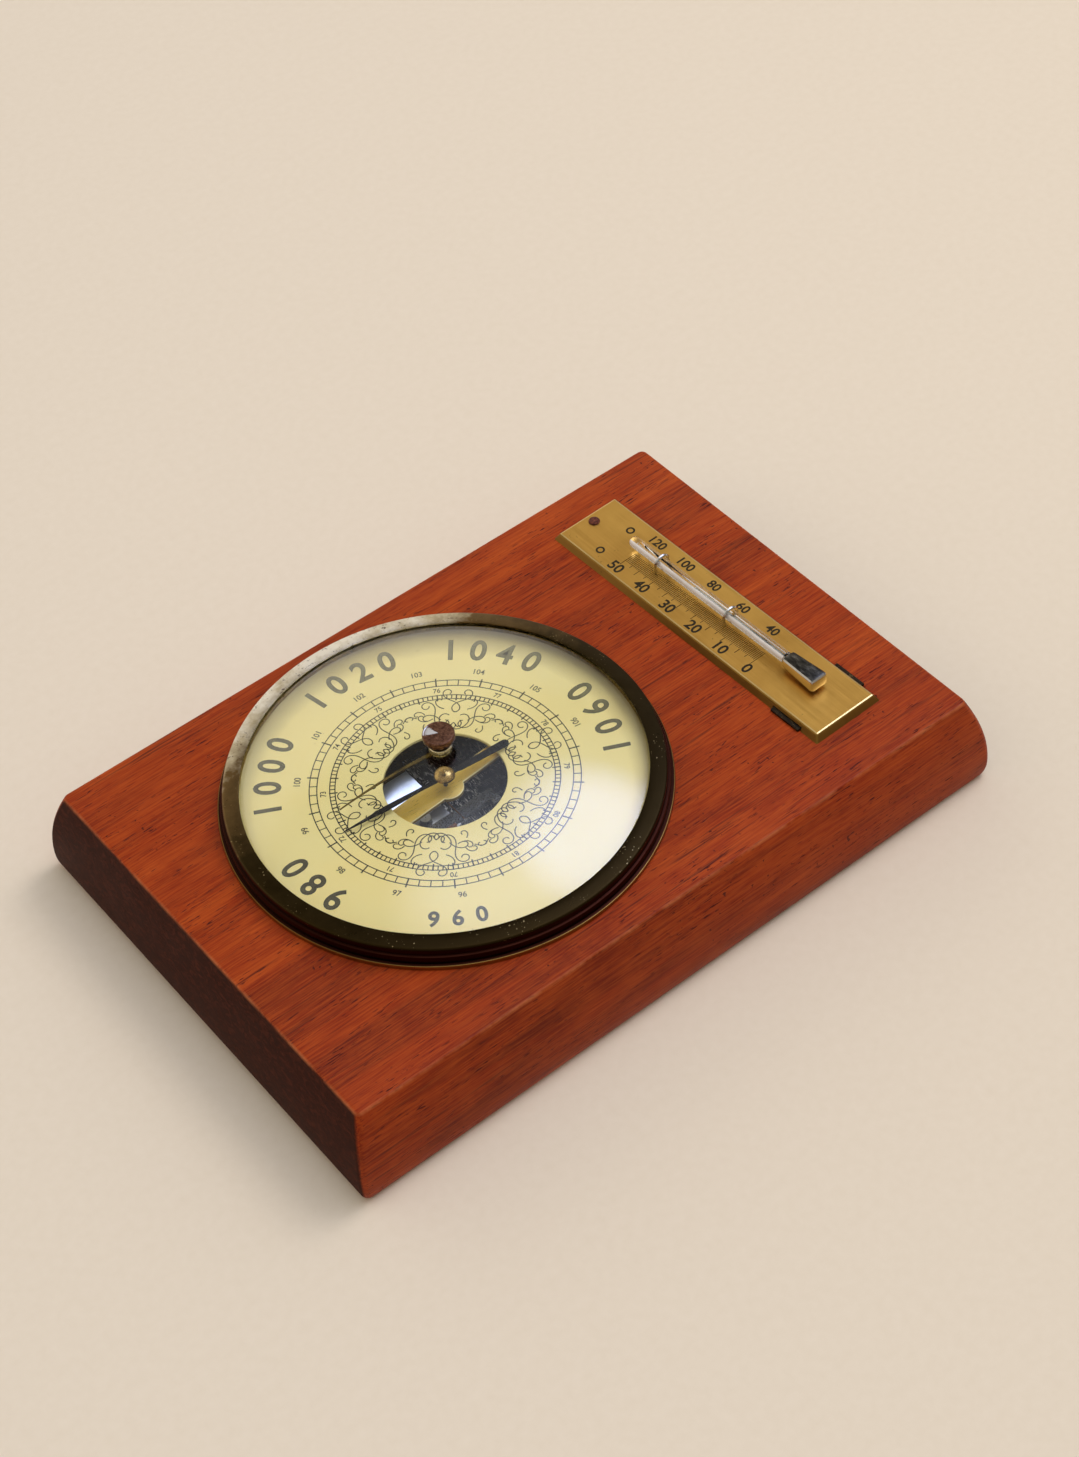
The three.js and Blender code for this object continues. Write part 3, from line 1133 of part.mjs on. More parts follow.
function hanger() {
  const group = turned(HANGER_X, HANGER_Y, 0);
  add(group, 'hanger_plate', hangerPlate(), 'steel');
  addEach(group, 'hanger_screw', HANGER_SCREW_PLACES, hangerScrew(), 'steel');
  return group;
}

const object = new THREE.Group();
add(object, 'wood_block', woodBlock(), 'wood');
object.add(barometer(), thermometer(), hanger());

export default object;
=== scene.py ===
"""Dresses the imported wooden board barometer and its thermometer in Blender.

Every sub-assembly is a class that models its own pieces and gives each one its finish.
Sizes are millimetres; heights are measured from the board's top face unless a name says otherwise.
"""

import logging
import math
from dataclasses import dataclass
from enum import Enum
from typing import Any, Callable, Sequence

import bmesh
import bpy
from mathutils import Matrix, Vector

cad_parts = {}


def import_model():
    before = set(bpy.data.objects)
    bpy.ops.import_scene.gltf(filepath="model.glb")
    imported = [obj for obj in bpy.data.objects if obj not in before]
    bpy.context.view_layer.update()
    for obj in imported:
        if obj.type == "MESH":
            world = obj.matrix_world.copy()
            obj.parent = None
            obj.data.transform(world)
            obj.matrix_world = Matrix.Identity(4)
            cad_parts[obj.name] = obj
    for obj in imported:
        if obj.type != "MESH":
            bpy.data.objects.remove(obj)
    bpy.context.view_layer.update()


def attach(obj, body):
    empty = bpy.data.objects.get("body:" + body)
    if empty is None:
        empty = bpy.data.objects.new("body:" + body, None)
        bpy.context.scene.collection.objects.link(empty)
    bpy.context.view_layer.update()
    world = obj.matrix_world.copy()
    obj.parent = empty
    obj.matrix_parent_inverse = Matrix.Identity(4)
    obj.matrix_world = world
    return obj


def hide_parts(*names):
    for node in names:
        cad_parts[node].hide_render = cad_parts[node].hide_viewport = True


Point = tuple[float, ...]
Socket = bpy.types.NodeSocket
Piece = bpy.types.Object

MM = 0.001
BOARD_LENGTH = 210.0
BOARD_WIDTH = 141.0
BOARD_TOP = 30.0
DIAL_PLACE = (-22.6, 1.6, BOARD_TOP)
CASE_SCREW_CIRCLE = 56.0
CASE_SCREW_TURNS = (90, 210, 330)
# the thermometer plate's place and turn, and in its own frame the tube and the nail
PLATE_PLACE = (74.1, 2.0, BOARD_TOP)
PLATE_TURN = 1.5
TUBE_X = 1.0
TUBE_LEVEL = 5.3
NAIL_Y = 52.0
# how far print lies in its ground and stands out of it
PRINT_IN = 0.01
PRINT_OUT = 0.02

# node settings that repeat, and the range that holds nearly all values of a noise
TIMES = {"operation": "MULTIPLY"}
MINUS = {"operation": "SUBTRACT"}
ABSOLUTE = {"operation": "ABSOLUTE"}
LENGTH = {"operation": "LENGTH", "out": "Value"}
DOT = {"operation": "DOT_PRODUCT", "out": "Value"}
SMOOTH = {"interpolation_type": "SMOOTHSTEP"}
NOISE = (0.3, 0.7)

log = logging.getLogger("barometer")


class Pick(Enum):
    """What a selection in edit mode is made of."""

    VERTS = 0
    EDGES = 1
    FACES = 2


class Axis(Enum):
    """The line a turned piece is spun round."""

    UP = (0.0, 0.0, 1.0)
    ALONG = (0.0, 1.0, 0.0)


class Ink(Enum):
    """How a numeral is printed."""

    SOLID = "BOTH"
    OUTLINE = "NONE"


# Bench work


def mm(*values: float) -> Point:
    """Gives millimetres in metres."""
    return tuple(value * MM for value in values)


def arc(radius: float, turns: Sequence[float], middle: Point = (0.0, 0.0)) -> list[Point]:
    """Gives points on a circle.

    Args:
        radius: The circle's radius.
        turns: Headings in degrees, from the first axis to the second.
        middle: The circle's middle.

    Returns:
        Pairs of coordinates, one for each heading.
    """
    ways = [math.radians(turn) for turn in turns]
    return [(middle[0] + radius * math.cos(way), middle[1] + radius * math.sin(way)) for way in ways]


def put_down() -> None:
    """Leaves edit mode with nothing selected."""
    if bpy.context.mode != "OBJECT":
        bpy.ops.object.mode_set(mode="OBJECT")
    bpy.ops.object.select_all(action="DESELECT")


def take_up(*pieces: Piece) -> None:
    """Selects pieces and makes the first one active.

    Args:
        pieces: What the next operator works on.
    """
    put_down()
    for piece in pieces:
        piece.select_set(True)
    bpy.context.view_layer.objects.active = pieces[0]


def named(name: str) -> Piece:
    """Names the active piece and its mesh.

    Args:
        name: The piece's name.

    Returns:
        The piece.
    """
    piece = bpy.context.active_object
    piece.name = name
    piece.data.name = name
    return piece


def started(name: str) -> Piece:
    """Names the primitive just added and puts its place into its mesh.

    Args:
        name: The piece's name.

    Returns:
        The piece, at the origin and unscaled.
    """
    piece = named(name)
    bpy.ops.object.transform_apply(location=True, rotation=True, scale=True)
    return piece


def pick_by(kind: Pick) -> None:
    """Makes edit mode select vertices, edges or faces."""
    bpy.context.tool_settings.mesh_select_mode = [kind.value == i for i in range(len(Pick))]


def open_mesh(piece: Piece, kind: Pick = Pick.FACES) -> None:
    """Opens a piece in edit mode with all of it selected.

    Args:
        piece: The piece to shape.
        kind: What is selected in it.
    """
    take_up(piece)
    bpy.ops.object.mode_set(mode="EDIT")
    pick_by(kind)
    bpy.ops.mesh.select_all(action="SELECT")


def choose(piece: Piece, kind: Pick, test: Callable[[Vector, Vector], bool]) -> None:
    """Selects the edges or faces of an open mesh that pass a test.

    Args:
        piece: The piece in edit mode.
        kind: Edges or faces.
        test: Takes the middle in mm, and an edge's direction or a face's normal.
    """
    pick_by(kind)
    bpy.ops.mesh.select_all(action="DESELECT")
    shape = bmesh.from_edit_mesh(piece.data)
    for part in shape.edges if kind is Pick.EDGES else shape.faces:
        if kind is Pick.EDGES:
            first, last = (vert.co for vert in part.verts)
            middle, way = (first + last) / 2, (last - first).normalized()
        else:
            middle, way = part.calc_center_median(), part.normal
        if test(middle / MM, way):
            part.select_set(True)
    shape.select_flush_mode()
    bmesh.update_edit_mesh(piece.data)


def extrude(*step: float) -> None:
    """Extrudes what is selected by a step in mm."""
    bpy.ops.mesh.extrude_region_move(TRANSFORM_OT_translate={"value": mm(*step)})


def resize(grow: Point, *middle: float) -> None:
    """Scales what is selected about a place in mm."""
    bpy.ops.transform.resize(value=grow, center_override=mm(*middle))


def bevel(width: float, segments: int) -> None:
    """Bevels the selected edges by a width in mm."""
    bpy.ops.mesh.bevel(offset=width * MM, segments=segments, affect="EDGES")


def face_out() -> None:
    """Turns all faces of the open mesh outwards."""
    bpy.ops.mesh.select_all(action="SELECT")
    bpy.ops.mesh.normals_make_consistent(inside=False)


def smoothed(piece: Piece, angle: float = 35.0) -> None:
    """Shades a piece smooth across all edges but those sharper than an angle in degrees."""
    take_up(piece)
    bpy.ops.object.shade_smooth_by_angle(angle=math.radians(angle))


def closed_up(piece: Piece, angle: float = 35.0) -> Piece:
    """Merges doubles, turns the faces outwards and smooths all but the sharp edges.

    Args:
        piece: The piece to finish.
        angle: Edges sharper than this many degrees stay sharp.

    Returns:
        The same piece.
    """
    open_mesh(piece)
    bpy.ops.mesh.remove_doubles(threshold=0.0005 * MM)
    face_out()
    smoothed(piece, angle)
    put_down()
    return piece


def drawn_line(name: str, points: Sequence[Point]) -> Piece:
    """Draws a line by extruding one vertex from point to point.

    Args:
        name: The piece's name.
        points: Places in mm.

    Returns:
        A piece of edges, left in edit mode.
    """
    put_down()
    bpy.ops.mesh.primitive_plane_add(size=MM, location=mm(*points[0]))
    piece = started(name)
    open_mesh(piece, Pick.VERTS)
    bpy.ops.mesh.merge(type="CENTER")
    for before, after in zip(points, points[1:]):
        extrude(*(b - a for a, b in zip(before, after)))
    return piece


def turned(name: str, outline: Sequence[Point], steps: int, axis: Axis = Axis.UP) -> Piece:
    """Turns a piece from its half section, as on a lathe.

    Args:
        name: The piece's name.
        outline: (radius, distance along the axis) pairs.
        steps: Facets round the axis.
        axis: Which axis it turns round.

    Returns:
        The finished mesh.
    """
    section = [(r, 0.0, along) if axis is Axis.UP else (r, along, 0.0) for r, along in outline]
    piece = drawn_line(name, section)
    bpy.ops.mesh.select_all(action="SELECT")
    bpy.ops.mesh.spin(steps=steps, angle=2 * math.pi, center=(0, 0, 0), axis=axis.value)
    return closed_up(piece)


def sheet_cut(name: str, outline: Sequence[Point], low: float, high: float, edge: float) -> Piece:
    """Cuts a flat piece from sheet and eases its edges.

    Args:
        name: The piece's name.
        outline: (x, y) corners in order.
        low: Height of its underside.
        high: Height of its top.
        edge: Width of the bevel round top and bottom.

    Returns:
        The finished mesh.
    """
    piece = drawn_line(name, [(x, y, low) for x, y in outline])
    bpy.ops.mesh.select_all(action="SELECT")
    bpy.ops.mesh.edge_face_add()
    bpy.ops.mesh.select_all(action="SELECT")
    extrude(0, 0, high - low)
    face_out()
    choose(piece, Pick.EDGES, lambda at, way: abs(way.z) < 0.5)
    bevel(edge, 3)
    return closed_up(piece)


def wired(name: str, points: Sequence[Point], radius: float, round_steps: int) -> Piece:
    """Bends a wire along points.

    Args:
        name: The piece's name.
        points: Places in mm along its middle.
        radius: The wire's radius.
        round_steps: How round its section is.

    Returns:
        The wire as a mesh with closed ends.
    """
    take_up(drawn_line(name, points))
    bpy.ops.object.convert(target="CURVE")
    curve = bpy.context.active_object.data
    curve.bevel_depth = radius * MM
    curve.bevel_resolution = round_steps
    curve.use_fill_caps = True
    bpy.ops.object.convert(target="MESH")
    return closed_up(named(name))


def drilled(piece: Piece, *tools: Piece) -> Piece:
    """Cuts tools out of a piece and throws the tools away.

    Args:
        piece: What is cut.
        tools: Closed pieces that do the cutting.

    Returns:
        The cut piece.
    """
    for tool in tools:
        take_up(piece)
        change = piece.modifiers.new("cut", "BOOLEAN")
        change.operation = "DIFFERENCE"
        change.solver = "EXACT"
        change.object = tool
        bpy.ops.object.modifier_apply(modifier=change.name)
        bpy.data.objects.remove(tool)
    return piece


def drill(x: float, y: float, radius: float, low: float, high: float, sides: int = 48) -> Piece:
    """Makes a round cutting tool.

    Args:
        x: Its place along X.
        y: Its place along Y.
        radius: Its radius.
        low: Height of its lower end.
        high: Height of its upper end.
        sides: Facets round it.

    Returns:
        The tool.
    """
    put_down()
    bpy.ops.mesh.primitive_cylinder_add(
        vertices=sides, radius=radius * MM, depth=(high - low) * MM, location=mm(x, y, (low + high) / 2)
    )
    return started("drill")


def block(name: str, low: Point, high: Point) -> Piece:
    """Adds a block between two corners, to be shaped or to cut with.

    Args:
        name: The piece's name.
        low: Its lowest corner.
        high: Its highest corner.

    Returns:
        The block.
    """
    put_down()
    middle = [(a + b) / 2 for a, b in zip(low, high)]
    bpy.ops.mesh.primitive_cube_add(size=MM, location=mm(*middle))
    bpy.context.active_object.scale = [b - a for a, b in zip(low, high)]
    return started(name)


def repeated(piece: Piece, count: int, turn: float = 0.0, step: Point = (0.0, 0.0, 0.0)) -> Piece:
    """Copies a piece round its origin or along a line.

    Args:
        piece: What repeats.
        count: How many there are in all.
        turn: Degrees from one to the next round Z.
        step: Millimetres from one to the next.

    Returns:
        One piece that holds all the copies.
    """
    put_down()
    bpy.ops.object.empty_add(location=mm(*step), rotation=(0, 0, math.radians(turn)))
    pace = bpy.context.active_object
    take_up(piece)
    change = piece.modifiers.new("row", "ARRAY")
    change.count = count
    change.use_relative_offset = False
    change.use_object_offset = True
    change.offset_object = pace
    bpy.ops.object.modifier_apply(modifier=change.name)
    bpy.data.objects.remove(pace)
    return piece


def joined(name: str, *pieces: Piece) -> Piece:
    """Joins pieces into one under a new name.

    Args:
        name: The new name.
        pieces: What is joined.

    Returns:
        The joined piece.
    """
    take_up(*pieces)
    bpy.ops.object.join()
    return named(name)


def seated(piece: Piece, place: Point, turn: float = 0.0) -> Piece:
    """Moves a piece from its own frame to its place, and puts the place into its mesh.

    Args:
        piece: A piece made round the origin.
        place: Where its origin goes.
        turn: Degrees about Z.

    Returns:
        The same piece.
    """
    piece.location = mm(*place)
    piece.rotation_euler = (0, 0, math.radians(turn))
    take_up(piece)
    bpy.ops.object.transform_apply(location=True, rotation=True, scale=True)
    put_down()
    return piece


def numeral(text: str, size: float, ink: Ink = Ink.SOLID, squeeze: float = 1.0, bold: float = 0.0) -> Piece:
    """Prints one numeral round the origin.

    Args:
        text: Its digits.
        size: Height of the letter body in mm.
        ink: Solid or outlined.
        squeeze: Width over height.
        bold: How much its strokes are fattened on each side, in mm.

    Returns:
        A thin mesh that reads along X.
    """
    put_down()
    bpy.ops.object.text_add(location=(0, 0, 0))
    letters = bpy.context.active_object.data
    letters.body = text
    letters.size = size * MM
    letters.align_x = "CENTER"
    letters.align_y = "CENTER"
    letters.fill_mode = ink.value
    letters.resolution_u = 4
    letters.offset = bold * MM
    if ink is Ink.SOLID:
        letters.extrude = 0.01 * MM
    else:
        letters.bevel_depth = 0.1 * MM
        letters.bevel_resolution = 0
    bpy.ops.object.convert(target="MESH")
    piece = bpy.context.active_object
    piece.scale = (squeeze, 1, 1)
    bpy.ops.object.transform_apply(location=False, rotation=False, scale=True)
    return piece


def dressed(piece: Piece, finish: "Finish", body: str, *nodes: str, slot: str = "") -> None:
    """Gives a piece its finish and its body, and lets it stand for CAD nodes.

    Args:
        piece: The finished mesh.
        finish: Its finish.
        body: The body it rides on.
        nodes: CAD nodes it stands for.
        slot: The material slot's name; not used.
    """
    put_down()
    piece.data.materials.clear()
    piece.data.materials.append(finish.material())
    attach(piece, body)
    if nodes:
        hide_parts(*nodes)
    log.info("%s: %d faces", piece.name, len(piece.data.polygons))


def on_dial(
    piece: Piece, finish: "Finish", body: str, *nodes: str, slot: str = "", turn: float = 0.0
) -> None:
    """Seats a piece about the dial's axis, turned by degrees, and dresses it."""
    dressed(seated(piece, DIAL_PLACE, turn), finish, body, *nodes, slot=slot)


# Finishes


def linear(colour: str) -> tuple[float, float, float, float]:
    """Turns an sRGB colour to linear values.

    Args:
        colour: A hex colour such as #9a3f1e.

    Returns:
        Red, green, blue and a full alpha.
    """
    parts = [int(colour[i : i + 2], 16) / 255 for i in (1, 3, 5)]
    values = [p / 12.92 if p <= 0.04045 else ((p + 0.055) / 1.055) ** 2.4 for p in parts]
    return (values[0], values[1], values[2], 1.0)


class Nodes:
    """A node tree, with the one function that adds to it."""

    # the inputs that plain values go to, the output that is usually wanted, and the usual settings
    ORDER: dict[str, Sequence[int]] = {"Mix": (0, 6, 7), "TexNoise": (3, 4, 8)}
    RESULT: dict[str, int] = {"Mix": 2}
    USUAL: dict[str, dict[str, Any]] = {"MapRange": {"clamp": True}, "Mix": {"data_type": "RGBA"}}

    def __init__(self, tree: bpy.types.NodeTree, place: str) -> None:
        """Takes a tree and starts it with the coordinates that its patterns read.

        Args:
            tree: The node tree.
            place: Which texture coordinates.
        """
        self.tree = tree
        self.place = self.add("TexCoord", out=place)

    def add(
        self,
        kind: str,
        *values: Any,
        size: float | Point = (),
        out: str | None = None,
        stops: Sequence[tuple[float, str]] = (),
        **settings: Any,
    ) -> Socket:
        """Adds a node with its settings and links.

        Args:
            kind: The node's type without ShaderNode.
            values: A number, hex colour or another node's socket for each of its usual inputs.
            size: Size in mm of the patches of a pattern, the same all ways or along X, Y and Z.
            out: Which output is wanted, the usual one when not given.
            stops: Places and hex colours of a colour ramp.
            settings: Inputs by name with a capital letter, and the node's own properties.

        Returns:
            The wanted output.
        """
        node = self.tree.nodes.new("ShaderNode" + kind)
        links: dict[str | int, Any] = dict(zip(self.ORDER.get(kind, range(9)), values))
        if size:
            spread = size if isinstance(size, tuple) else (size,) * 3
            scale = [1 / MM / value for value in spread]
            links["Vector"] = self.add("Mapping", Vector=self.place, Scale=scale)
            links["Scale"] = 1.0
        for key, value in {**self.USUAL.get(kind, {}), **settings}.items():
            if key[0].isupper():
                links[key.replace("_", " ")] = value
            else:
                setattr(node, key, value)
        for key, value in links.items():
            if isinstance(value, Socket):
                self.tree.links.new(value, node.inputs[key])
            else:
                node.inputs[key].default_value = linear(value) if isinstance(value, str) else value
        if stops:
            ramp = node.color_ramp.elements
            ramp.remove(ramp[-1])
            ramp[0].position, ramp[0].color = stops[0][0], linear(stops[0][1])
            for at, colour in stops[1:]:
                ramp.new(at).color = linear(colour)
        return node.outputs[self.RESULT.get(kind, 0) if out is None else out]

    def spot(self, place: Point, turn: float = 0.0) -> list[Socket]:
        """Measures from a place in a turned frame.

        Args:
            place: The frame's origin in mm.
            turn: Degrees about Z.

        Returns:
            Metres along the frame's X, Y and Z.
        """
        frame = {"Location": mm(*place), "Rotation": (0, 0, math.radians(turn))}
        there = self.add("Mapping", Vector=self.place, vector_type="TEXTURE", **frame)
        return list(self.add("SeparateXYZ", there).node.outputs)

    def over(self, ground: Socket | str, colour: Socket | str, *masks: Any) -> Socket:
        """Lays a colour over another wherever all the masks let it show.

        Args:
            ground: The colour so far.
            colour: The colour on top.
            masks: Shares from 0 to 1, which are multiplied.

        Returns:
            The new colour.
        """
        share = masks[0]
        for mask in masks[1:]:
            share = self.add("Math", share, mask, **TIMES)
        return self.add("Mix", share, ground, colour)

    def patches(self, size: float | Point, span: Point, *texture: float) -> Socket:
        """Spreads soft patches over the surface.

        Args:
            size: Their size in mm, the same all ways or along X, Y and Z.
            span: Two levels of the noise, and the values there when they aren't 0 and 1.
            texture: The noise's detail, roughness and distortion.

        Returns:
            The values.
        """
        return self.add("MapRange", self.add("TexNoise", *texture, size=size), *span)


class Surface(Nodes):
    """A new material with its shader, ready for a finish to work on."""

    def __init__(self, name: str, **settings: Any) -> None:
        """Makes the material and sets its shader's plain sockets.

        Args:
            name: The material's name.
            settings: Socket values, with _ for each space in a socket's name.
        """
        self.material = bpy.data.materials.new(name)
        self.material.use_nodes = True
        super().__init__(self.material.node_tree, "Object")
        self.shader = self.tree.nodes["Principled BSDF"]
        for label, value in settings.items():
            value = linear(value) if isinstance(value, str) else value
            self.shader.inputs[label.replace("_", " ")].default_value = value

    def wire(self, socket: Socket, label: str) -> None:
        """Links an output to one of the shader's inputs."""
        self.tree.links.new(socket, self.shader.inputs[label])

    def up(self) -> Socket:
        """Says how far the surface faces up: 1 on a level top, 0 on a wall."""
        return self.add("SeparateXYZ", self.add("TexCoord", out="Normal"), out="Z")


@dataclass(frozen=True)
class Finish:
    """What a piece's surface is made of and how it was worked."""

    name: str

    def build(self) -> bpy.types.Material:
        """Makes the material."""
        raise NotImplementedError

    def material(self) -> bpy.types.Material:
        """Gives the material, made once for each name."""
        return bpy.data.materials.get(self.name) or self.build()


@dataclass(frozen=True)
class VarnishedMahogany(Finish):
    """Mahogany, planed and varnished: orange brown, purple streaks, short dark pores, a thin satin film."""

    dark: str = "#5a1806"
    middle: str = "#8e2d08"
    light: str = "#a84412"
    streak: str = "#3a0d0b"
    # the end grain's colour, darkened further as painted shade
    end: str = "#371407"
    rubbed_and_highlit: str = "#c9794a"
    arris: float = 0.6

    def grain(self, s: Surface) -> tuple[Socket, Socket, Socket]:
        """Lays the figure, the streaks and the pores.

        Args:
            s: The surface.

        Returns:
            The colour, the fibres and the pores.
        """
        # bands of colour about 15 mm wide that wander along the board
        bands = s.add("TexNoise", 4, 0.6, 0.8, size=(170, 14, 14))
        shades = [(0.3, self.dark), (0.41, "#762207"), (0.52, self.middle), (0.64, self.light)]
        figure = s.add("ValToRGB", bands, stops=[*shades, (0.8, "#96350a")])
        # a soft ripple across the grain, as in quartered mahogany
        colour = s.over(figure, "#af4a16", s.patches((9, 16, 16), (0.34, 0.66, 0.0, 0.28), 3, 0.55, 0.4))
        # purple brown streaks 1 mm wide, gathered in drifts
        streaks = s.patches((42, 1.0, 1.0), (0.55, 0.63), 3, 0.62, 0.35)
        drifts = s.patches((80, 9, 9), (0.47, 0.62, 0.1, 0.9), 3, 0.55, 0.6)
        colour = s.over(colour, self.streak, streaks, drifts)
        fibres = s.patches((12, 0.5, 0.5), (0.35, 0.65), 2, 0.6)
        colour = s.over(colour, s.add("ValToRGB", fibres, stops=[(0, "#6f1f07"), (1, "#c25a1f")]), 0.3)
        # pores are about 3 mm long and 0.4 mm wide, coarser than real ones so that they show
        pores = s.patches((3.6, 0.42, 0.42), (0.62, 0.7), 1, 0.5)
        pores = s.add("Math", pores, s.patches((18, 6, 6), (0.38, 0.62), 1), **TIMES)
        return s.over(colour, self.streak, pores, 0.9), fibres, pores

    def edges(self, s: Surface) -> Socket:
        """Finds the arris round the top face.

        Args:
            s: The surface.

        Returns:
            1 on the arris, 0 away from it.
        """
        x, y, z = s.add("SeparateXYZ", s.place).node.outputs
        half = BOARD_LENGTH / 2 * MM, BOARD_WIDTH / 2 * MM
        past = [s.add("Math", s.add("Math", at, **ABSOLUTE), to, **MINUS) for at, to in zip((x, y), half)]
        side = s.add("MapRange", s.add("Math", *past, operation="MAXIMUM"), *mm(-self.arris, 0.1))
        high = s.add("MapRange", z, *mm(BOARD_TOP - 1, BOARD_TOP - 0.3))
        return s.add("Math", side, high, **TIMES)

    def build(self) -> bpy.types.Material:
        """Makes the grain, the end grain with painted shade, the worn arris with a painted highlight and the
        film of varnish.

        Returns:
            The material.
        """
        s = Surface(self.name, Specular_IOR_Level=0.1, Coat_Weight=0.03, Coat_Roughness=0.3)
        colour, fibres, pores = self.grain(s)
        # the two ends show the ends of the fibres, which drink varnish and go dark and dull, and they are
        # painted darker still as shade
        along = s.add("SeparateXYZ", s.add("TexCoord", out="Normal"), out="X")
        along = s.add("Math", along, **ABSOLUTE)
        ends = s.add("MapRange", along, 0.7, 0.9)
        butt = s.add("TexNoise", 3, 0.6, 1.2, size=(9, 3.2, 1.6))
        butt = s.add("ValToRGB", butt, stops=[(0.3, "#2f1107"), (0.5, self.end), (0.72, "#4c1f0f")])
        colour = s.over(colour, butt, ends)
        # the arris is paler here and there, partly from rubbing and partly as a painted highlight
        worn = s.patches(9, (0.36, 0.62, 0.0, 0.45), 4, 0.7)
        colour = s.over(colour, self.rubbed_and_highlit, self.edges(s), worn)
        # a few dark dents, 1 mm across
        dents = s.patches((1.3, 1.1, 1.1), (0.77, 0.82), 0)
        colour = s.over(colour, "#3d150c", dents, s.patches(30, (0.52, 0.6, 0.0, 0.8), 0))
        s.wire(colour, "Base Color")
        film = s.patches((60, 30, 30), (*NOISE, 0.36, 0.48), 3)
        film = s.add("Math", film, s.add("Math", pores, 0.2, **TIMES))
        s.wire(s.add("Math", film, s.add("Math", ends, 0.3, **TIMES)), "Roughness")
        depth = s.add("Math", s.add("Math", fibres, 0.3, **TIMES), pores, **MINUS)
        s.wire(s.add("Bump", Height=depth, Distance=0.04 * MM, Strength=0.6), "Normal")
        return s.material


@dataclass(frozen=True)
class AgedBrass(Finish):
    """Brass turned bright, left to darken and pitted, with a painted reflection from near black olive to pale
    at the ring's far left.
    """

    night: str = "#281e0d"
    olive: str = "#352912"
    brown: str = "#6e5633"
    fawn: str = "#c6b899"
    pale: str = "#f2ebdd"
    wall: str = "#2c130b"
    # points at the painted reflection's palest place, and is as long as 1 over the ring's radius in metres
    lit: Point = (-0.8, 16.4, 0.0)
    wall_top: Point = (5.7, 5.2)
    wall_face: Point = (60.4, 60.9)
    flange_rim: Point = (62.85, 63.1)

    def build(self) -> bpy.types.Material:
        """Makes the patina and a painted reflection, pale at the far left of the ring, and the wall below it
        painted dark.

        Returns:
            The material.
        """
        s = Surface(self.name, Metallic=1.0)
        x, y, z = s.spot(DIAL_PLACE)
        flat = s.add("CombineXYZ", x, y)
        # painted reflection of the window and the dark room: 1 at the ring's far left, 0 opposite
        level = s.add("MapRange", s.add("VectorMath", flat, self.lit, **DOT), -1.0, 1.0)
        level = s.add("Math", level, s.patches(11, (*NOISE, -0.09, 0.07), 4, 0.7))
        shades = (0.1, self.night), (0.58, self.olive), (0.8, self.brown), (0.9, self.fawn), (0.99, self.pale)
        colour = s.add("ValToRGB", level, stops=shades)
        # pits up to 2 mm across in the pale part, and a few bright specks 0.5 mm across in the dark part
        pits = s.patches(2.2, (0.6, 0.68), 3, 0.7)
        pits = s.add("Math", pits, s.add("MapRange", level, 0.74, 0.93), **TIMES)
        colour = s.over(colour, "#5a4023", pits, 0.8)
        specks = s.patches(0.5, (0.77, 0.8), 0)
        colour = s.over(colour, "#a99467", specks, s.patches(8, (0.48, 0.6, 0.0, 0.8), 1))
        # the wall under the ring is painted dark as a reflection of the wood; a thin gold line runs along the
        # flange's edge
        reach = s.add("VectorMath", flat, **LENGTH)
        below = s.add("MapRange", z, *mm(*self.wall_top))
        colour = s.over(colour, self.wall, below, s.add("MapRange", reach, *mm(*self.wall_face)))
        colour = s.over(colour, "#a5823f", s.add("MapRange", reach, *mm(*self.flange_rim)), 0.85)
        s.wire(colour, "Base Color")
        rough = s.patches(5, (*NOISE, 0.26, 0.42), 4, 0.7)
        s.wire(s.add("Math", rough, s.add("Math", pits, 0.3, **TIMES)), "Roughness")
        fine = s.add("Math", s.add("TexNoise", 2, size=0.5), pits, **MINUS)
        s.wire(s.add("Bump", Height=fine, Distance=0.04 * MM, Strength=0.4), "Normal")
        return s.material


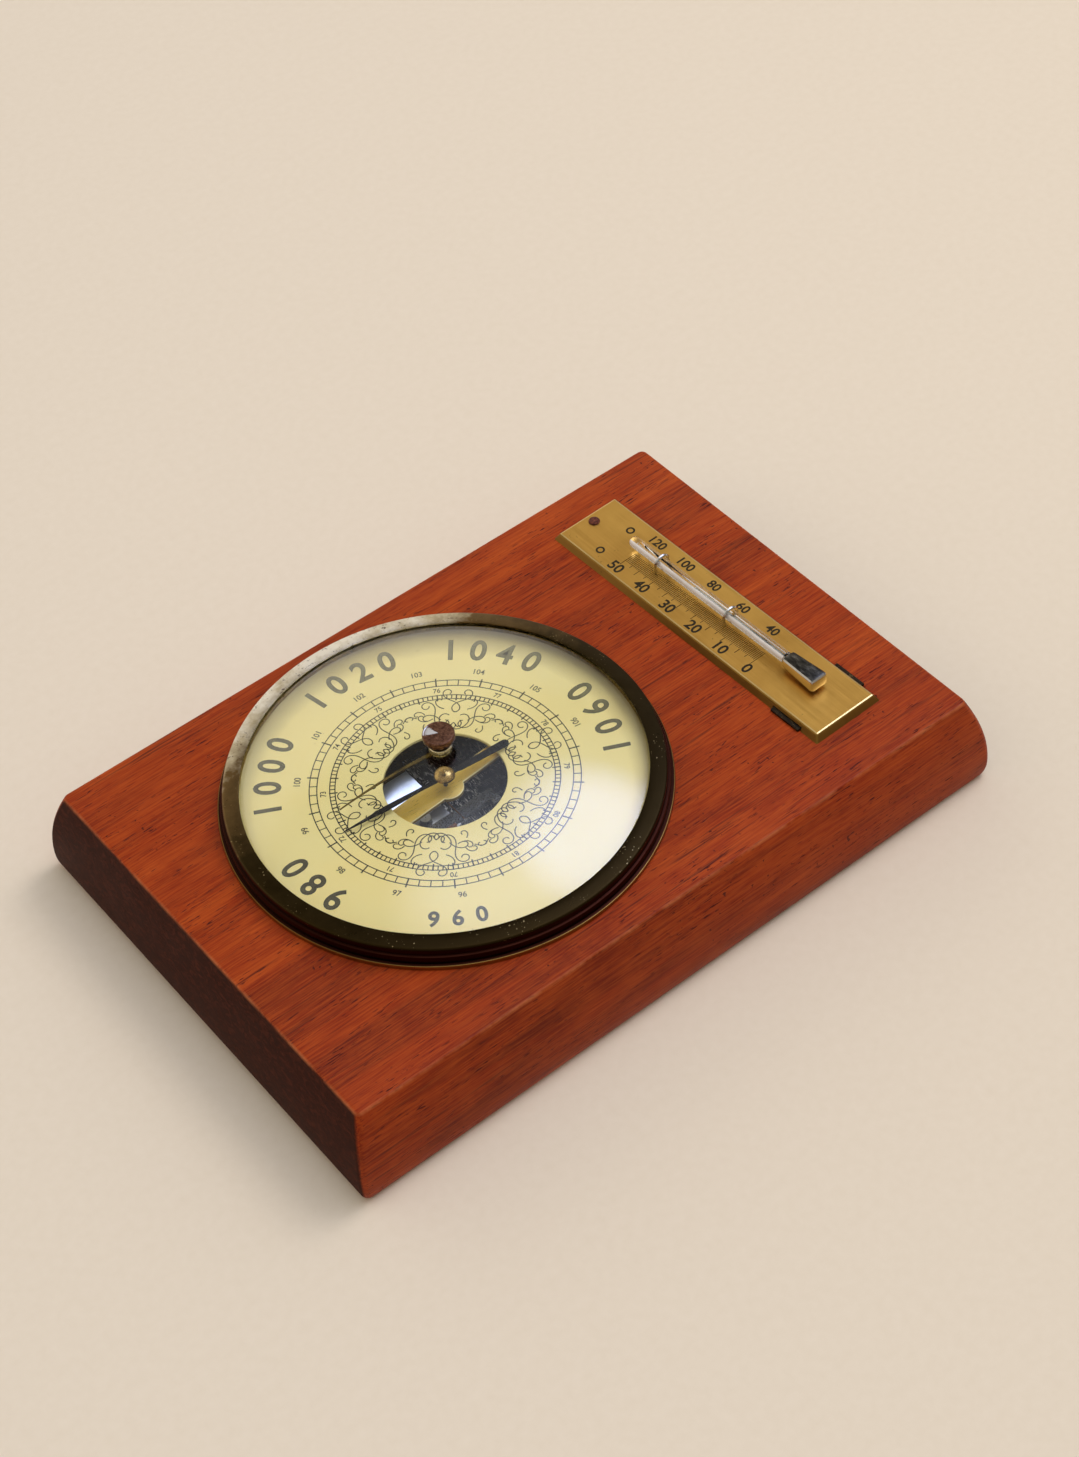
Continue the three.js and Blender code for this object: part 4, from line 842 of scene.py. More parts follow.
@dataclass(frozen=True)
class SheetBrass(Finish):
    """Rolled brass sheet, brushed one way and gone dull, with small brown spots, painted shade on its slanted
    skirts and painted highlights on its folds.
    """

    base: str = "#d3a04a"
    pale: str = "#deac52"
    dull: str = "#c18f3f"
    spots: float = 0.5
    brush: Point = (0.35, 30.0, 2.0)
    roughness: float = 0.36
    metallic: float = 1.0
    edge_highlight: float = 0.0

    def build(self) -> bpy.types.Material:
        """Makes the brushed lines, the spots, the painted shade on the skirts and highlights on the folds,
        and a painted edge highlight where one is set.

        Returns:
            The material.
        """
        s = Surface(self.name, Metallic=self.metallic)
        shades = (0.3, self.dull), (0.52, self.base), (0.75, self.pale)
        colour = s.add("ValToRGB", s.add("TexNoise", 4, 0.6, size=24), stops=shades)
        lines = s.add("TexNoise", 2, 0.6, size=self.brush)
        colour = s.over(colour, self.pale, s.add("MapRange", lines, 0.35, 0.7, 0.0, 0.3))
        stain = s.patches(1.5, (0.68, 0.74), 3, 0.6)
        stain = s.add("Math", stain, s.patches(19, (0.4, 0.62, 0.0, self.spots), 1), **TIMES)
        colour = s.over(colour, "#3f2a17", stain)
        # painted shade darkens the slanted skirts and a painted highlight brightens the folds, by how far the
        # surface faces up
        up = s.up()
        colour = s.over(colour, "#3b2912", s.add("MapRange", up, 0.92, 0.84, 0.0, 0.65))
        fold = s.add("MapRange", up, 0.86, 0.95)
        colour = s.over(colour, "#e6cf92", fold, s.add("MapRange", up, 0.999, 0.985), 0.6)
        if self.edge_highlight:
            # a painted highlight: the edge walls get a pale colour and less metal, so they show as a bright
            # line
            edge = s.add("MapRange", up, 0.97, 0.9)
            edge = s.add("Math", edge, s.add("MapRange", up, 0.05, 0.25), **TIMES)
            colour = s.over(colour, "#ffeeb0", edge, self.edge_highlight)
            s.wire(s.add("MapRange", edge, 0.0, 1.0, self.metallic, 0.0), "Metallic")
        s.wire(colour, "Base Color")
        rough = s.add("MapRange", lines, *NOISE, self.roughness - 0.06, self.roughness + 0.08)
        s.wire(s.add("Math", rough, s.add("Math", stain, 0.3, **TIMES)), "Roughness")
        s.wire(s.add("Bump", Height=lines, Distance=0.012 * MM, Strength=0.35), "Normal")
        return s.material


@dataclass(frozen=True)
class TurnedMetal(Finish):
    """A plain metal part, turned or worked with a file, with the fine marks of its tool and a little tarnish.
    """

    base: str = "#9a9a97"
    tarnish: str = "#6d6b66"
    roughness: float = 0.26
    marks: Point = (0.5, 0.5, 0.5)
    patch: float = 6.0

    def build(self) -> bpy.types.Material:
        """Makes tool marks and tarnish.

        Returns:
            The material.
        """
        s = Surface(self.name, Metallic=1.0)
        patches = s.add("TexNoise", 4, 0.65, size=self.patch)
        s.wire(s.add("ValToRGB", patches, stops=[(0.32, self.tarnish), (0.58, self.base)]), "Base Color")
        marks = s.add("TexNoise", 2, 0.6, size=self.marks)
        rough = s.add("MapRange", marks, *NOISE, self.roughness * 0.75, self.roughness * 1.35)
        s.wire(rough, "Roughness")
        s.wire(s.add("Bump", Height=marks, Distance=0.01 * MM, Strength=0.3), "Normal")
        return s.material


@dataclass(frozen=True)
class CamberedSteel(Finish):
    """Spring steel rolled with a slight camber and mirror polished: it fades from white to black across."""

    base: str = "#dfe2e6"
    tarnish: str = "#b4b7bb"
    crest: float = 27.0
    camber: float = 9.0

    def build(self) -> bpy.types.Material:
        """Makes the polish, the camber across the leaf and a few rust spots.

        Returns:
            The material.
        """
        s = Surface(self.name, Metallic=1.0, Roughness=0.28)
        polish = s.add("TexNoise", 3, 0.6, size=9)
        polish = s.add("ValToRGB", polish, stops=[(0.3, self.tarnish), (0.6, self.base)])
        rust = s.patches(1.4, (0.72, 0.76), 2)
        s.wire(s.over(polish, "#8a5a3c", rust, 0.6), "Base Color")
        # the leaf is level along its crest and falls by 1 in 3 at 18 mm from it
        across = s.add("Math", s.spot(DIAL_PLACE)[1], self.crest * MM, **MINUS)
        fall = s.add("Math", s.add("Math", across, across, **TIMES), -self.camber, **TIMES)
        s.wire(s.add("Bump", Height=fall, Distance=1.0, Strength=1.0), "Normal")
        return s.material


@dataclass(frozen=True)
class ScratchedBlack(Finish):
    """Steel blackened in the fire: near black, with bright wandering scratches where it has rubbed off."""

    base: str = "#1d1c1b"
    worn: str = "#34322e"
    scratch: str = "#a9a59c"
    amount: float = 1.0

    def build(self) -> bpy.types.Material:
        """Makes the black skin and its scratches.

        Returns:
            The material.
        """
        s = Surface(self.name, Specular_IOR_Level=0.14, Metallic=0.7)
        lines = s.add("TexNoise", 1, 0.5, 1.4, size=(1.1, 5, 1.1))
        thin = s.add("Math", lines, 0.5, 0.035, operation="COMPARE")
        marks = s.add("Math", thin, s.patches(2.2, (0.42, 0.54, 0.0, self.amount), 2), **TIMES)
        skin = s.add("TexNoise", 3, size=4)
        skin = s.add("ValToRGB", skin, stops=[(0.35, self.base), (0.7, self.worn)])
        s.wire(s.over(skin, self.scratch, marks), "Base Color")
        s.wire(s.patches(1, (*NOISE, 0.34, 0.55), 3), "Roughness")
        s.wire(s.add("Bump", Height=marks, Distance=0.02 * MM, Strength=0.4), "Normal")
        return s.material


@dataclass(frozen=True)
class AgedPaper(Finish):
    """Printed card under glass: yellowed cream, with the bezel's shadow painted brown towards the rim, foxed
    with small brown specks.
    """

    middle: str = "#f0e19a"
    warm: str = "#f3de8f"
    # the colour of the bezel's painted shadow, and the radii it spans
    rim: str = "#6f5a2c"
    bezel_shadow: Point = (51.5, 62.0)
    lean: float = 0.06

    def build(self) -> bpy.types.Material:
        """Makes the card's colour, the painted shadow at its rim and its specks.

        Returns:
            The material.
        """
        s = Surface(self.name, Roughness=0.62, Specular_IOR_Level=0.25)
        colour = s.over(self.middle, self.warm, s.patches(34, NOISE, 3))
        x, y, _ = s.spot(DIAL_PLACE)
        reach = s.add("VectorMath", s.add("CombineXYZ", x, y), **LENGTH)
        # the painted shadow of the bezel is widest at the far right, where the bezel shades the card
        reach = s.add("Math", reach, s.add("Math", s.add("Math", x, y), self.lean, **TIMES))
        reach = s.add("Math", reach, s.patches(9, (0, 1, -0.001, 0.001), 3))
        colour = s.over(colour, self.rim, s.add("MapRange", reach, *mm(*self.bezel_shadow), 0.0, 0.92))
        fox = s.patches(0.7, (0.72, 0.78), 2)
        colour = s.over(colour, "#86642f", fox, s.patches(11, (0.5, 0.66), 2))
        s.wire(colour, "Base Color")
        fine = s.add("TexNoise", 3, size=0.5)
        s.wire(s.add("Bump", Height=fine, Distance=0.02 * MM, Strength=0.3), "Normal")
        return s.material


@dataclass(frozen=True)
class FadedInk(Finish):
    """Printing ink, grey green where light has faded it and darker towards the lower left."""

    dark: str = "#17140a"
    faded: str = "#55533a"
    reach: Point = (-0.055, 0.06)

    def build(self) -> bpy.types.Material:
        """Makes ink that fades across the dial and in patches.

        Returns:
            The material.
        """
        s = Surface(self.name, Roughness=0.7, Specular_IOR_Level=0.2)
        x, y, _ = s.add("SeparateXYZ", s.place).node.outputs
        fade = s.add("MapRange", s.add("Math", x, y), *self.reach)
        patch = s.patches(3, (0.35, 0.65, -0.22, 0.3), 4, 0.7)
        s.wire(s.over(self.dark, self.faded, s.add("Math", fade, patch, use_clamp=True)), "Base Color")
        return s.material


@dataclass(frozen=True)
class ClearGlass(Finish):
    """Blown clear glass, a trace green, polished; it lets light through to what lies under it."""

    tint: str = "#fcfdfa"

    def surface(self) -> Surface:
        """Starts the glass itself."""
        return Surface(self.name, Roughness=0.02, IOR=1.5, Transmission_Weight=1.0, Base_Color=self.tint)

    def clear(self, s: Surface, shader: Socket) -> None:
        """Makes the surface clear to shadow rays.

        Args:
            s: The surface.
            shader: What all other rays meet.
        """
        shade = s.add("LightPath", out="Is Shadow Ray")
        mixed = s.add("MixShader", shade, shader, s.add("BsdfTransparent", self.tint))
        s.tree.links.new(mixed, s.tree.nodes["Material Output"].inputs[0])

    def build(self) -> bpy.types.Material:
        """Makes glass with the slight waves of blown sheet.

        Returns:
            The material.
        """
        s = self.surface()
        waves = s.add("TexNoise", 1, size=20)
        s.wire(s.add("Bump", Height=waves, Distance=0.02 * MM, Strength=0.1), "Normal")
        self.clear(s, s.shader.outputs[0])
        return s.material


@dataclass(frozen=True)
class StripedGlass(ClearGlass):
    """Drawn thermometer tube: clear glass with a painted highlight, a silvery band along its left flank."""

    highlight_colour: str = "#f0ebe4"
    heading: float = 158.0
    half: float = 30.0

    def build(self) -> bpy.types.Material:
        """Makes the glass and the painted highlight band, which covers 60 degrees of the tube.

        Returns:
            The material.
        """
        s = self.surface()
        # a painted highlight: a silvery band painted where the tube's side faces its heading
        x, _, z = s.spot((*PLATE_PLACE[:2], BOARD_TOP + TUBE_LEVEL), PLATE_TURN)
        angle = s.add("Math", z, s.add("Math", x, TUBE_X * MM, **MINUS), operation="ARCTAN2")
        off = s.add("Math", s.add("Math", angle, math.radians(self.heading), **MINUS), **ABSOLUTE)
        mask = s.add("MapRange", off, math.radians(self.half + 3), math.radians(self.half - 3))
        drift = s.add("TexNoise", 2, size=(2, 12, 2))
        drift = s.add("ValToRGB", drift, stops=[(0.3, "#ddd6cc"), (0.6, self.highlight_colour)])
        highlight_shader = s.add("BsdfPrincipled", Base_Color=drift, Metallic=0.1, Roughness=0.3)
        self.clear(s, s.add("MixShader", mask, s.shader.outputs[0], highlight_shader))
        return s.material


@dataclass(frozen=True)
class KnobBronze(Finish):
    """Nickelled bronze worn down to the brown metal, with one bright wedge painted on top as a highlight."""

    base: str = "#704c37"
    dark: str = "#432b1f"
    painted_glint: str = "#e4e2de"
    heading: float = 128.0
    wedge: Point = (0.45, 0.36)
    top: Point = (22.2, 22.25)

    def build(self) -> bpy.types.Material:
        """Makes the mottled brown metal and the painted highlight wedge.

        Returns:
            The material.
        """
        s = Surface(self.name, Metallic=0.9)
        mottle = s.add("TexNoise", 4, 0.7, size=0.9)
        colour = s.add("ValToRGB", mottle, stops=[(0.35, self.dark), (0.55, self.base), (0.75, "#8f6a50")])
        x, y, z = s.spot(DIAL_PLACE)
        angle = s.add("Math", y, x, operation="ARCTAN2")
        # the painted highlight wedge opens over about 45 degrees, with ragged sides, on the flat top alone
        off = s.add("Math", s.add("Math", angle, math.radians(self.heading), **MINUS), **ABSOLUTE)
        off = s.add("Math", off, s.patches(0.35, (*NOISE, -0.1, 0.1), 2))
        wedge = s.add("MapRange", off, *self.wedge)
        colour = s.over(colour, self.painted_glint, wedge, s.add("MapRange", z, *mm(*self.top)))
        s.wire(colour, "Base Color")
        s.wire(s.add("MapRange", mottle, *NOISE, 0.3, 0.46), "Roughness")
        s.wire(s.add("Bump", Height=mottle, Distance=0.02 * MM, Strength=0.35), "Normal")
        return s.material


@dataclass(frozen=True)
class RustyIron(Finish):
    """A plain iron nail that has rusted: brown and orange crumbs, no shine."""

    crumbs: Sequence[tuple[float, str]] = (
        (0.3, "#2c130c"), (0.5, "#5a2a1b"), (0.68, "#8f4f33"), (0.85, "#b98c6d"))

    def build(self) -> bpy.types.Material:
        """Makes the rust.

        Returns:
            The material.
        """
        s = Surface(self.name, Metallic=0.25, Roughness=0.82)
        grit = s.add("TexNoise", 4, 0.7, size=0.7)
        s.wire(s.add("ValToRGB", grit, stops=self.crumbs), "Base Color")
        s.wire(s.add("Bump", Height=grit, Distance=0.15 * MM, Strength=0.8), "Normal")
        return s.material


@dataclass(frozen=True)
class LiquidMetal(Finish):
    """The silver column seen in glass: a smooth mirror, darker where the glass is thick."""

    base: str = "#c9c9c6"
    dark: str = "#5b5a57"

    def build(self) -> bpy.types.Material:
        """Makes a mirror with dark drifts.

        Returns:
            The material.
        """
        s = Surface(self.name, Metallic=1.0, Roughness=0.16)
        drifts = s.add("TexNoise", 2, size=(2, 9, 2))
        s.wire(s.add("ValToRGB", drifts, stops=[(0.38, self.dark), (0.6, self.base)]), "Base Color")
        fine = s.add("TexNoise", 2, size=0.4)
        s.wire(s.add("Bump", Height=fine, Distance=0.01 * MM, Strength=0.3), "Normal")
        return s.material


@dataclass(frozen=True)
class SilveredBulb(Finish):
    """Blown bulb silvered inside, with a painted reflection: its top face painted dark as the room it
    mirrors, its flanks and foot bright.
    """

    face: str = "#4d4a43"
    flank: str = "#cfc9bf"

    def build(self) -> bpy.types.Material:
        """Makes the painted dark face, the painted bright flanks and fine wrinkles in the silver.

        Returns:
            The material.
        """
        s = Surface(self.name, Metallic=1.0)
        # painted reflection: the top face is painted darker than the flanks by how far it faces up
        up = s.add("MapRange", s.up(), 0.55, 0.93)
        wrinkles = s.add("TexNoise", 3, 0.65, size=(1.2, 3.0, 1.2))
        face = s.add("ValToRGB", wrinkles, stops=[(0.35, "#2b2925"), (0.55, self.face), (0.75, "#85817a")])
        s.wire(s.over(self.flank, face, up), "Base Color")
        s.wire(s.add("MapRange", up, 0.0, 1.0, 0.14, 0.3), "Roughness")
        s.wire(s.add("Bump", Height=wrinkles, Distance=0.04 * MM, Strength=0.5), "Normal")
        return s.material


WOOD = VarnishedMahogany("varnished_mahogany")
CASE_BRASS = AgedBrass("aged_turned_brass")
PLATE_BRASS = SheetBrass("brushed_plate_brass")
BRIDGE_BRASS = SheetBrass(
    "lacquered_bridge_brass", "#dcb43c", "#ecc956", "#c39a2c",
    spots=0.25, brush=(3.0, 0.3, 2.0), roughness=0.32, metallic=0.5, edge_highlight=0.9)
SMALL_BRASS = TurnedMetal("turned_brass", "#a98e49", "#6f5a2a", 0.3)
PALE_BRASS = TurnedMetal("pale_turned_brass", "#d8cba6", "#a8966a", 0.3)
CAP_BRASS = TurnedMetal("spun_gilt_brass", "#bf9f5e", "#86683a", 0.22, patch=1.2)
HAND_BRASS = TurnedMetal("darkened_brass", "#7d6a35", "#4a3d1e", 0.32, (3.0, 0.3, 0.3))
KNOB = KnobBronze("worn_knob_bronze")
STEEL = TurnedMetal("filed_steel", "#a3a29e", "#74716b", 0.28)
SPRING_STEEL = CamberedSteel("polished_spring_steel")
BLACK_STEEL = ScratchedBlack("scratched_black_steel", "#141417", "#252528", "#d8d4cc")
POINTER_BLACK = ScratchedBlack("blackened_pointer_steel", "#0d0d0c", "#1b1a18", "#56534c", 0.35)
BAR_BLACK = ScratchedBlack("dark_bar_steel", "#241d14", "#33291c", "#6d5a36", 0.5)
COPPER = TurnedMetal("rolled_copper", "#c07a45", "#7f4e2c", 0.32, (6.0, 0.3, 0.3))
BRONZE = TurnedMetal("spring_bronze", "#a8763f", "#6d4a28", 0.3)
SILVERED = TurnedMetal("silvered_copper_nickel", "#b9b9b6", "#8d8b86", 0.34, patch=9.0)
ZINC = TurnedMetal("zinc_plated_steel", "#a6a9ab", "#7c7f82", 0.38, patch=3.0)
WIRE_SILVER = TurnedMetal("nickelled_wire", "#cfcdc8", "#8f8b82", 0.16, patch=2.0)
PAPER = AgedPaper("yellowed_dial_card")
INK = FadedInk("faded_dial_ink")
WASH = FadedInk("thin_dial_ink", "#3f3a22", "#77714a")
BLACK_INK = FadedInk("black_plate_ink", "#1a140a", "#33290f", (-0.1, 0.2))
GLASS = ClearGlass("clear_domed_glass")
TUBE_GLASS = StripedGlass("drawn_tube_glass", "#fcfdfb")
RUST = RustyIron("rusted_iron")
COLUMN = LiquidMetal("silver_column")
BULB = SilveredBulb("silvered_bulb_metal")


# Sub-assemblies


@dataclass
class Board:
    """The moulded board, its bore and the hanger recess in its back."""

    corner: float = 2.0
    bulge: float = 5.5
    widest: float = 24.0
    roll: float = 2.0
    edge: float = 0.45
    bore: float = 52.3
    hanger: Point = (0.0, 61.0)
    hanger_half: Point = (13.3, 6.8)
    hanger_depth: float = 2.6
    hanger_screw: float = 10.0
    keyhole: float = 4.5
    keyhole_depth: float = 13.0

    def offset(self, depth: float) -> float:
        """Says how far the side stands out of the top face's outline.

        Args:
            depth: How far below the top face.

        Returns:
            The distance in mm.
        """
        if depth <= self.widest:
            return self.bulge * (1 - (1 - depth / self.widest) ** 2)
        share = (depth - self.widest) / (BOARD_TOP - self.widest)
        return self.bulge - self.roll * (1 - math.sqrt(max(0.0, 1 - share * share)))

    def blank(self) -> Piece:
        """Extrudes the board from its back face up, ring by ring, and eases its top edge.

        Returns:
            The solid board.
        """
        depths = [self.widest + (BOARD_TOP - self.widest) * math.cos(math.pi / 2 * i / 12) for i in range(12)]
        depths += [self.widest * (1 - i / 24) for i in range(25)]
        sizes = [(BOARD_LENGTH + 2 * self.offset(d), BOARD_WIDTH + 2 * self.offset(d)) for d in depths]
        put_down()
        bpy.ops.mesh.primitive_plane_add(size=MM, location=(0, 0, 0))
        piece = started("board")
        open_mesh(piece, Pick.VERTS)
        bpy.ops.transform.resize(value=(*sizes[0], 1))
        bpy.ops.mesh.bevel(offset=self.corner * MM, segments=8, affect="VERTICES")
        pick_by(Pick.FACES)
        bpy.ops.mesh.select_all(action="SELECT")
        for i in range(1, len(depths)):
            extrude(0, 0, depths[i - 1] - depths[i])
            grow = [new / old for new, old in zip(sizes[i], sizes[i - 1])]
            resize((*grow, 1), 0, 0, BOARD_TOP - depths[i])
        face_out()
        choose(piece, Pick.EDGES, lambda at, way: at.z > BOARD_TOP - 0.01 and abs(way.z) < 0.1)
        bevel(self.edge, 3)
        return closed_up(piece)

    def hanger_tools(self) -> list[Piece]:
        """Makes the tools for the hanger plate's recess, its keyhole and its two screws.

        Returns:
            The tools.
        """
        x, y = self.hanger
        wide, high = self.hanger_half
        # the keyhole's slot runs from 2 mm below the plate's middle to 4 mm above it
        low, top, floor, deep = y - 2, y + 4, self.hanger_depth - 1, self.keyhole_depth
        tools = [block("recess", (x - wide, y - high, -2), (x + wide, y + high, self.hanger_depth))]
        tools += [drill(x, at, self.keyhole, floor, deep) for at in (low, top)]
        tools.append(block("slot", (x - self.keyhole, low, floor), (x + self.keyhole, top, deep)))
        for side in (-self.hanger_screw, self.hanger_screw):
            tools.append(drill(x + side, y, 1.4, 1, 11.6, 16))
        return tools

    def make(self) -> None:
        """Models the board with its bore, its pilot holes and its hanger recess."""
        piece = self.blank()
        tools = [drill(*DIAL_PLACE[:2], self.bore, -5, 40, 160), *self.hanger_tools()]
        for x, y in arc(CASE_SCREW_CIRCLE, CASE_SCREW_TURNS, DIAL_PLACE):
            tools.append(drill(x, y, 1.5, 19.5, 32, 16))
        for along, radius in ((NAIL_Y, 1.0), (-44.0, 1.3)):
            x, y = arc(along, (90 + PLATE_TURN,), PLATE_PLACE)[0]
            tools.append(drill(x, y, radius, 20, 32, 16))
        drilled(piece, *tools)
        smoothed(piece)
        dressed(piece, WOOD, "board", "wood_block", slot="wood")


@dataclass
class Case:
    """The turned brass case: flanged can, bezel, glass and bush."""

    can: float = 52.0
    wall: float = 1.0
    depth: float = 26.5
    flange: float = 63.2
    thick: float = 1.4
    base_screws: float = 33.0
    steps: int = 192
    glass_radii: Point = (149.4, 148.0)
    glass_edges: Point = (58.2, 56.8)
    glass_top: float = 17.3
    glass_hole: float = 2.6
    glass_foot: float = 3.9

    def can_piece(self) -> Piece:
        """Turns the can with its flange and drills its holes.

        Returns:
            The can.
        """
        t = self.thick
        piece = turned("case", [
            (0, -self.depth), (self.can - 0.6, -self.depth), (self.can - 0.17, -self.depth + 0.17),
            (self.can, -self.depth + 0.6), (self.can, 0), (self.flange - 0.15, 0), (self.flange, 0.15),
            (self.flange, t - 0.5), (self.flange - 0.15, t - 0.15), (self.flange - 0.5, t), (60.3, t),
            (60.3, 4.0), (59.5, 4.0), (59.5, t), (self.can - self.wall, t),
            (self.can - self.wall, self.wall - self.depth), (0, self.wall - self.depth),
        ], self.steps)
        tools = []
        for x, y in arc(CASE_SCREW_CIRCLE, CASE_SCREW_TURNS):
            tools += [drill(x, y, 1.5, -1, 3, 24), drill(x, y, 2.9, 0.7, 3, 32)]
        for x, y in arc(self.base_screws, (75, 195, 315)):
            tools.append(drill(x, y, 1.3, -30, -25, 24))
        # the last hole lets a screwdriver through to the adjusting screw
        tools.append(drill(-24.5, 4, 3.3, -30, -25, 32))
        return drilled(piece, *tools)

    def bezel_piece(self) -> Piece:
        """Turns the bezel: a stepped wall, a crisp corner and a top ring that falls outwards.

        Returns:
            The bezel.
        """
        return turned("bezel_ring", [
            (60.6, 1.4), (62.0, 1.4), (62.1, 1.5), (62.1, 3.6), (62.0, 3.8), (61.7, 3.9), (61.36, 3.95),
            (61.3, 4.1), (61.3, 5.8), (61.26, 5.95), (61.12, 6.1), (60.9, 6.25), (60.6, 6.33), (58.6, 6.65),
            (56.8, 6.95), (56.6, 6.93), (56.5, 6.8), (56.5, 6.5), (56.6, 6.4), (60.6, 5.78), (60.6, 1.4),
        ], self.steps)

    def glass_piece(self) -> Piece:
        """Turns the domed glass with its seat and its centre hole.

        Returns:
            The glass.
        """
        centre = self.glass_top - self.glass_radii[0]
        count = 36
        sides = []
        for radius, edge in zip(self.glass_radii, self.glass_edges):
            reaches = [edge + (self.glass_hole - edge) * i / count for i in range(count + 1)]
            sides.append([(r, centre + math.sqrt(radius**2 - r * r)) for r in reaches])
        start, seat = ((edge, self.glass_foot) for edge in self.glass_edges)
        return turned("domed_glass", [start, *sides[0], *reversed(sides[1]), seat, start], self.steps)

    def make(self) -> None:
        """Models the case's pieces and seats them on the board."""
        on_dial(self.can_piece(), CASE_BRASS, "board", "case_can", slot="antique_brass")
        on_dial(self.bezel_piece(), CASE_BRASS, "board", "bezel", slot="antique_brass")
        on_dial(self.glass_piece(), GLASS, "board", "glass", slot="glass")
        bush = turned("glass_eyelet", [
            (1.6, 15.25), (3.1, 15.25), (3.2, 15.35), (3.2, 15.8), (2.3, 15.85), (2.3, 17.3), (3.2, 17.3),
            (3.2, 17.7), (3.0, 17.9), (1.7, 17.9), (1.6, 17.8), (1.6, 15.25),
        ], 48)
        on_dial(bush, PALE_BRASS, "board", "glass_bush", slot="brass")


@dataclass
class Dial:
    """The card dial with its printed tracks, numbers and scrollwork."""

    face: float = 2.4
    hole: float = 17.2
    edge: float = 59.2
    ring: Point = (37.4, 35.3)
    fine: Point = (31.75, 30.3)
    line: float = 0.3
    numbers: Sequence[str] = ("960", "980", "1000", "1020", "1040", "1060")
    number_radius: float = 48.6
    first: float = 237.0
    pace: float = 50.0
    sprays: int = 12
    spray: Sequence[tuple[Point, float, float, Point]] = (
        ((21.0, -7.6), 62, 22, (0.9, -0.02, -1.1)),
        ((24.5, -6.4), 100, 15, (-0.9, 0.1, 1.2)),
        ((20.6, -5.2), 74, 13, (1.1, 0.12, 0.8)),
        ((22.4, -1.5), 30, 8, (0.1, 0.35, 1.4)),
        ((23.2, 0.6), 118, 7, (-0.1, -0.5, -1.6)),
        ((25.0, 2.6), 20, 5.5, (0.3, 0.7, 1.8)),
        ((21.6, 3.2), 150, 5, (0.1, 0.9, 1.9)),
        ((26.4, -3.0), 66, 6.5, (-0.2, -0.4, -1.5)),
        ((22.0, -3.6), 128, 4, (0.2, 0.9, 2.0)),
        ((24.2, 5.0), 60, 5, (0.0, 0.5, 2.2)),
    )

    def track_line(self, name: str, radius: float) -> Piece:
        """Prints a thin ring.

        Args:
            name: The piece's name.
            radius: The ring's radius.

        Returns:
            The ring.
        """
        inner, outer = radius - self.line / 2, radius + self.line / 2
        low, high = self.face - PRINT_IN, self.face + PRINT_OUT
        return turned(name, [(inner, low), (outer, low), (outer, high), (inner, high), (inner, low)], 180)

    def ticks(self, low: float, high: float, width: float, count: int, turn: float) -> Piece:
        """Prints a row of ticks round the dial.

        Args:
            low: Radius of their inner ends.
            high: Radius of their outer ends.
            width: Their width.
            count: How many there are.
            turn: Degrees from one to the next.

        Returns:
            The ticks as one piece.
        """
        corner = (high, width / 2, self.face + PRINT_OUT)
        tick = block("tick", (low, -width / 2, self.face - PRINT_IN), corner)
        tick.rotation_euler = (0, 0, math.radians(self.first))
        bpy.ops.object.transform_apply(rotation=True)
        return repeated(tick, count, turn)

    def tracks(self) -> Piece:
        """Prints the two graduated tracks.

        Returns:
            The tracks as one piece.
        """
        outer, inner = self.ring
        far, near = self.fine
        parts = [self.track_line(f"line_{i}", radius) for i, radius in enumerate((outer, inner, far, near))]
        parts.append(self.ticks(inner, outer, 0.3, 72, 5))
        parts.append(self.ticks(inner - 0.1, outer + 0.9, 0.4, 18, 20))
        parts.append(self.ticks(near, far, 0.32, 144, 2.5))
        parts.append(self.ticks(near - 0.7, far + 0.2, 0.4, 36, 10))
        return joined("dial_tracks", *parts)

    def placed(self, text: str, size: float, radius: float, angle: float, outward: bool, ink: Ink) -> Piece:
        """Prints a numeral on the dial.

        Args:
            text: Its digits.
            size: Height of the letter body.
            radius: How far it is from the dial's middle.
            angle: Its heading in degrees.
            outward: Whether its top points outward and not inward.
            ink: Solid or outlined.

        Returns:
            The numeral.
        """
        x, y = arc(radius, (angle,))[0]
        piece = numeral(text, size, ink, 0.92, 0.012 * size)
        return seated(piece, (x, y, self.face + 0.012), angle - 90 if outward else angle + 90)

    def large_numbers(self, name: str, ink: Ink) -> Piece:
        """Prints the large spaced numbers, the last and the lowest with their tops inward.

        Args:
            name: The piece's name.
            ink: Their solid bodies or their outlines.

        Returns:
            All the digits as one piece.
        """
        parts = []
        for i, text in enumerate(self.numbers):
            middle = self.first - i * self.pace
            outward = i not in (0, len(self.numbers) - 1)
            size, spread = (7.0, 7.6) if i == 0 else (10.6, 9.4)
            for k, digit in enumerate(text):
                lean = (k - (len(text) - 1) / 2) * spread * (-1 if outward else 1)
                parts.append(self.placed(digit, size, self.number_radius, middle + lean, outward, ink))
        return joined(name, *parts)

    def small_numbers(self) -> Piece:
        """Prints the small numbers between the tracks and outside them.

        Returns:
            All the numbers as one piece.
        """
        parts = []
        for i in range(12):
            parts.append(self.placed(str(70 + i), 2.3, 33.5, self.first - 30 * i, True, Ink.SOLID))
        for i in range(11):
            angle = self.first - 25 * i
            outward = 5 < (angle % 360) < 185
            parts.append(self.placed(str(96 + i), 2.6, 40.8, angle + 2.5, outward, Ink.SOLID))
        return joined("dial_small_numbers", *parts)

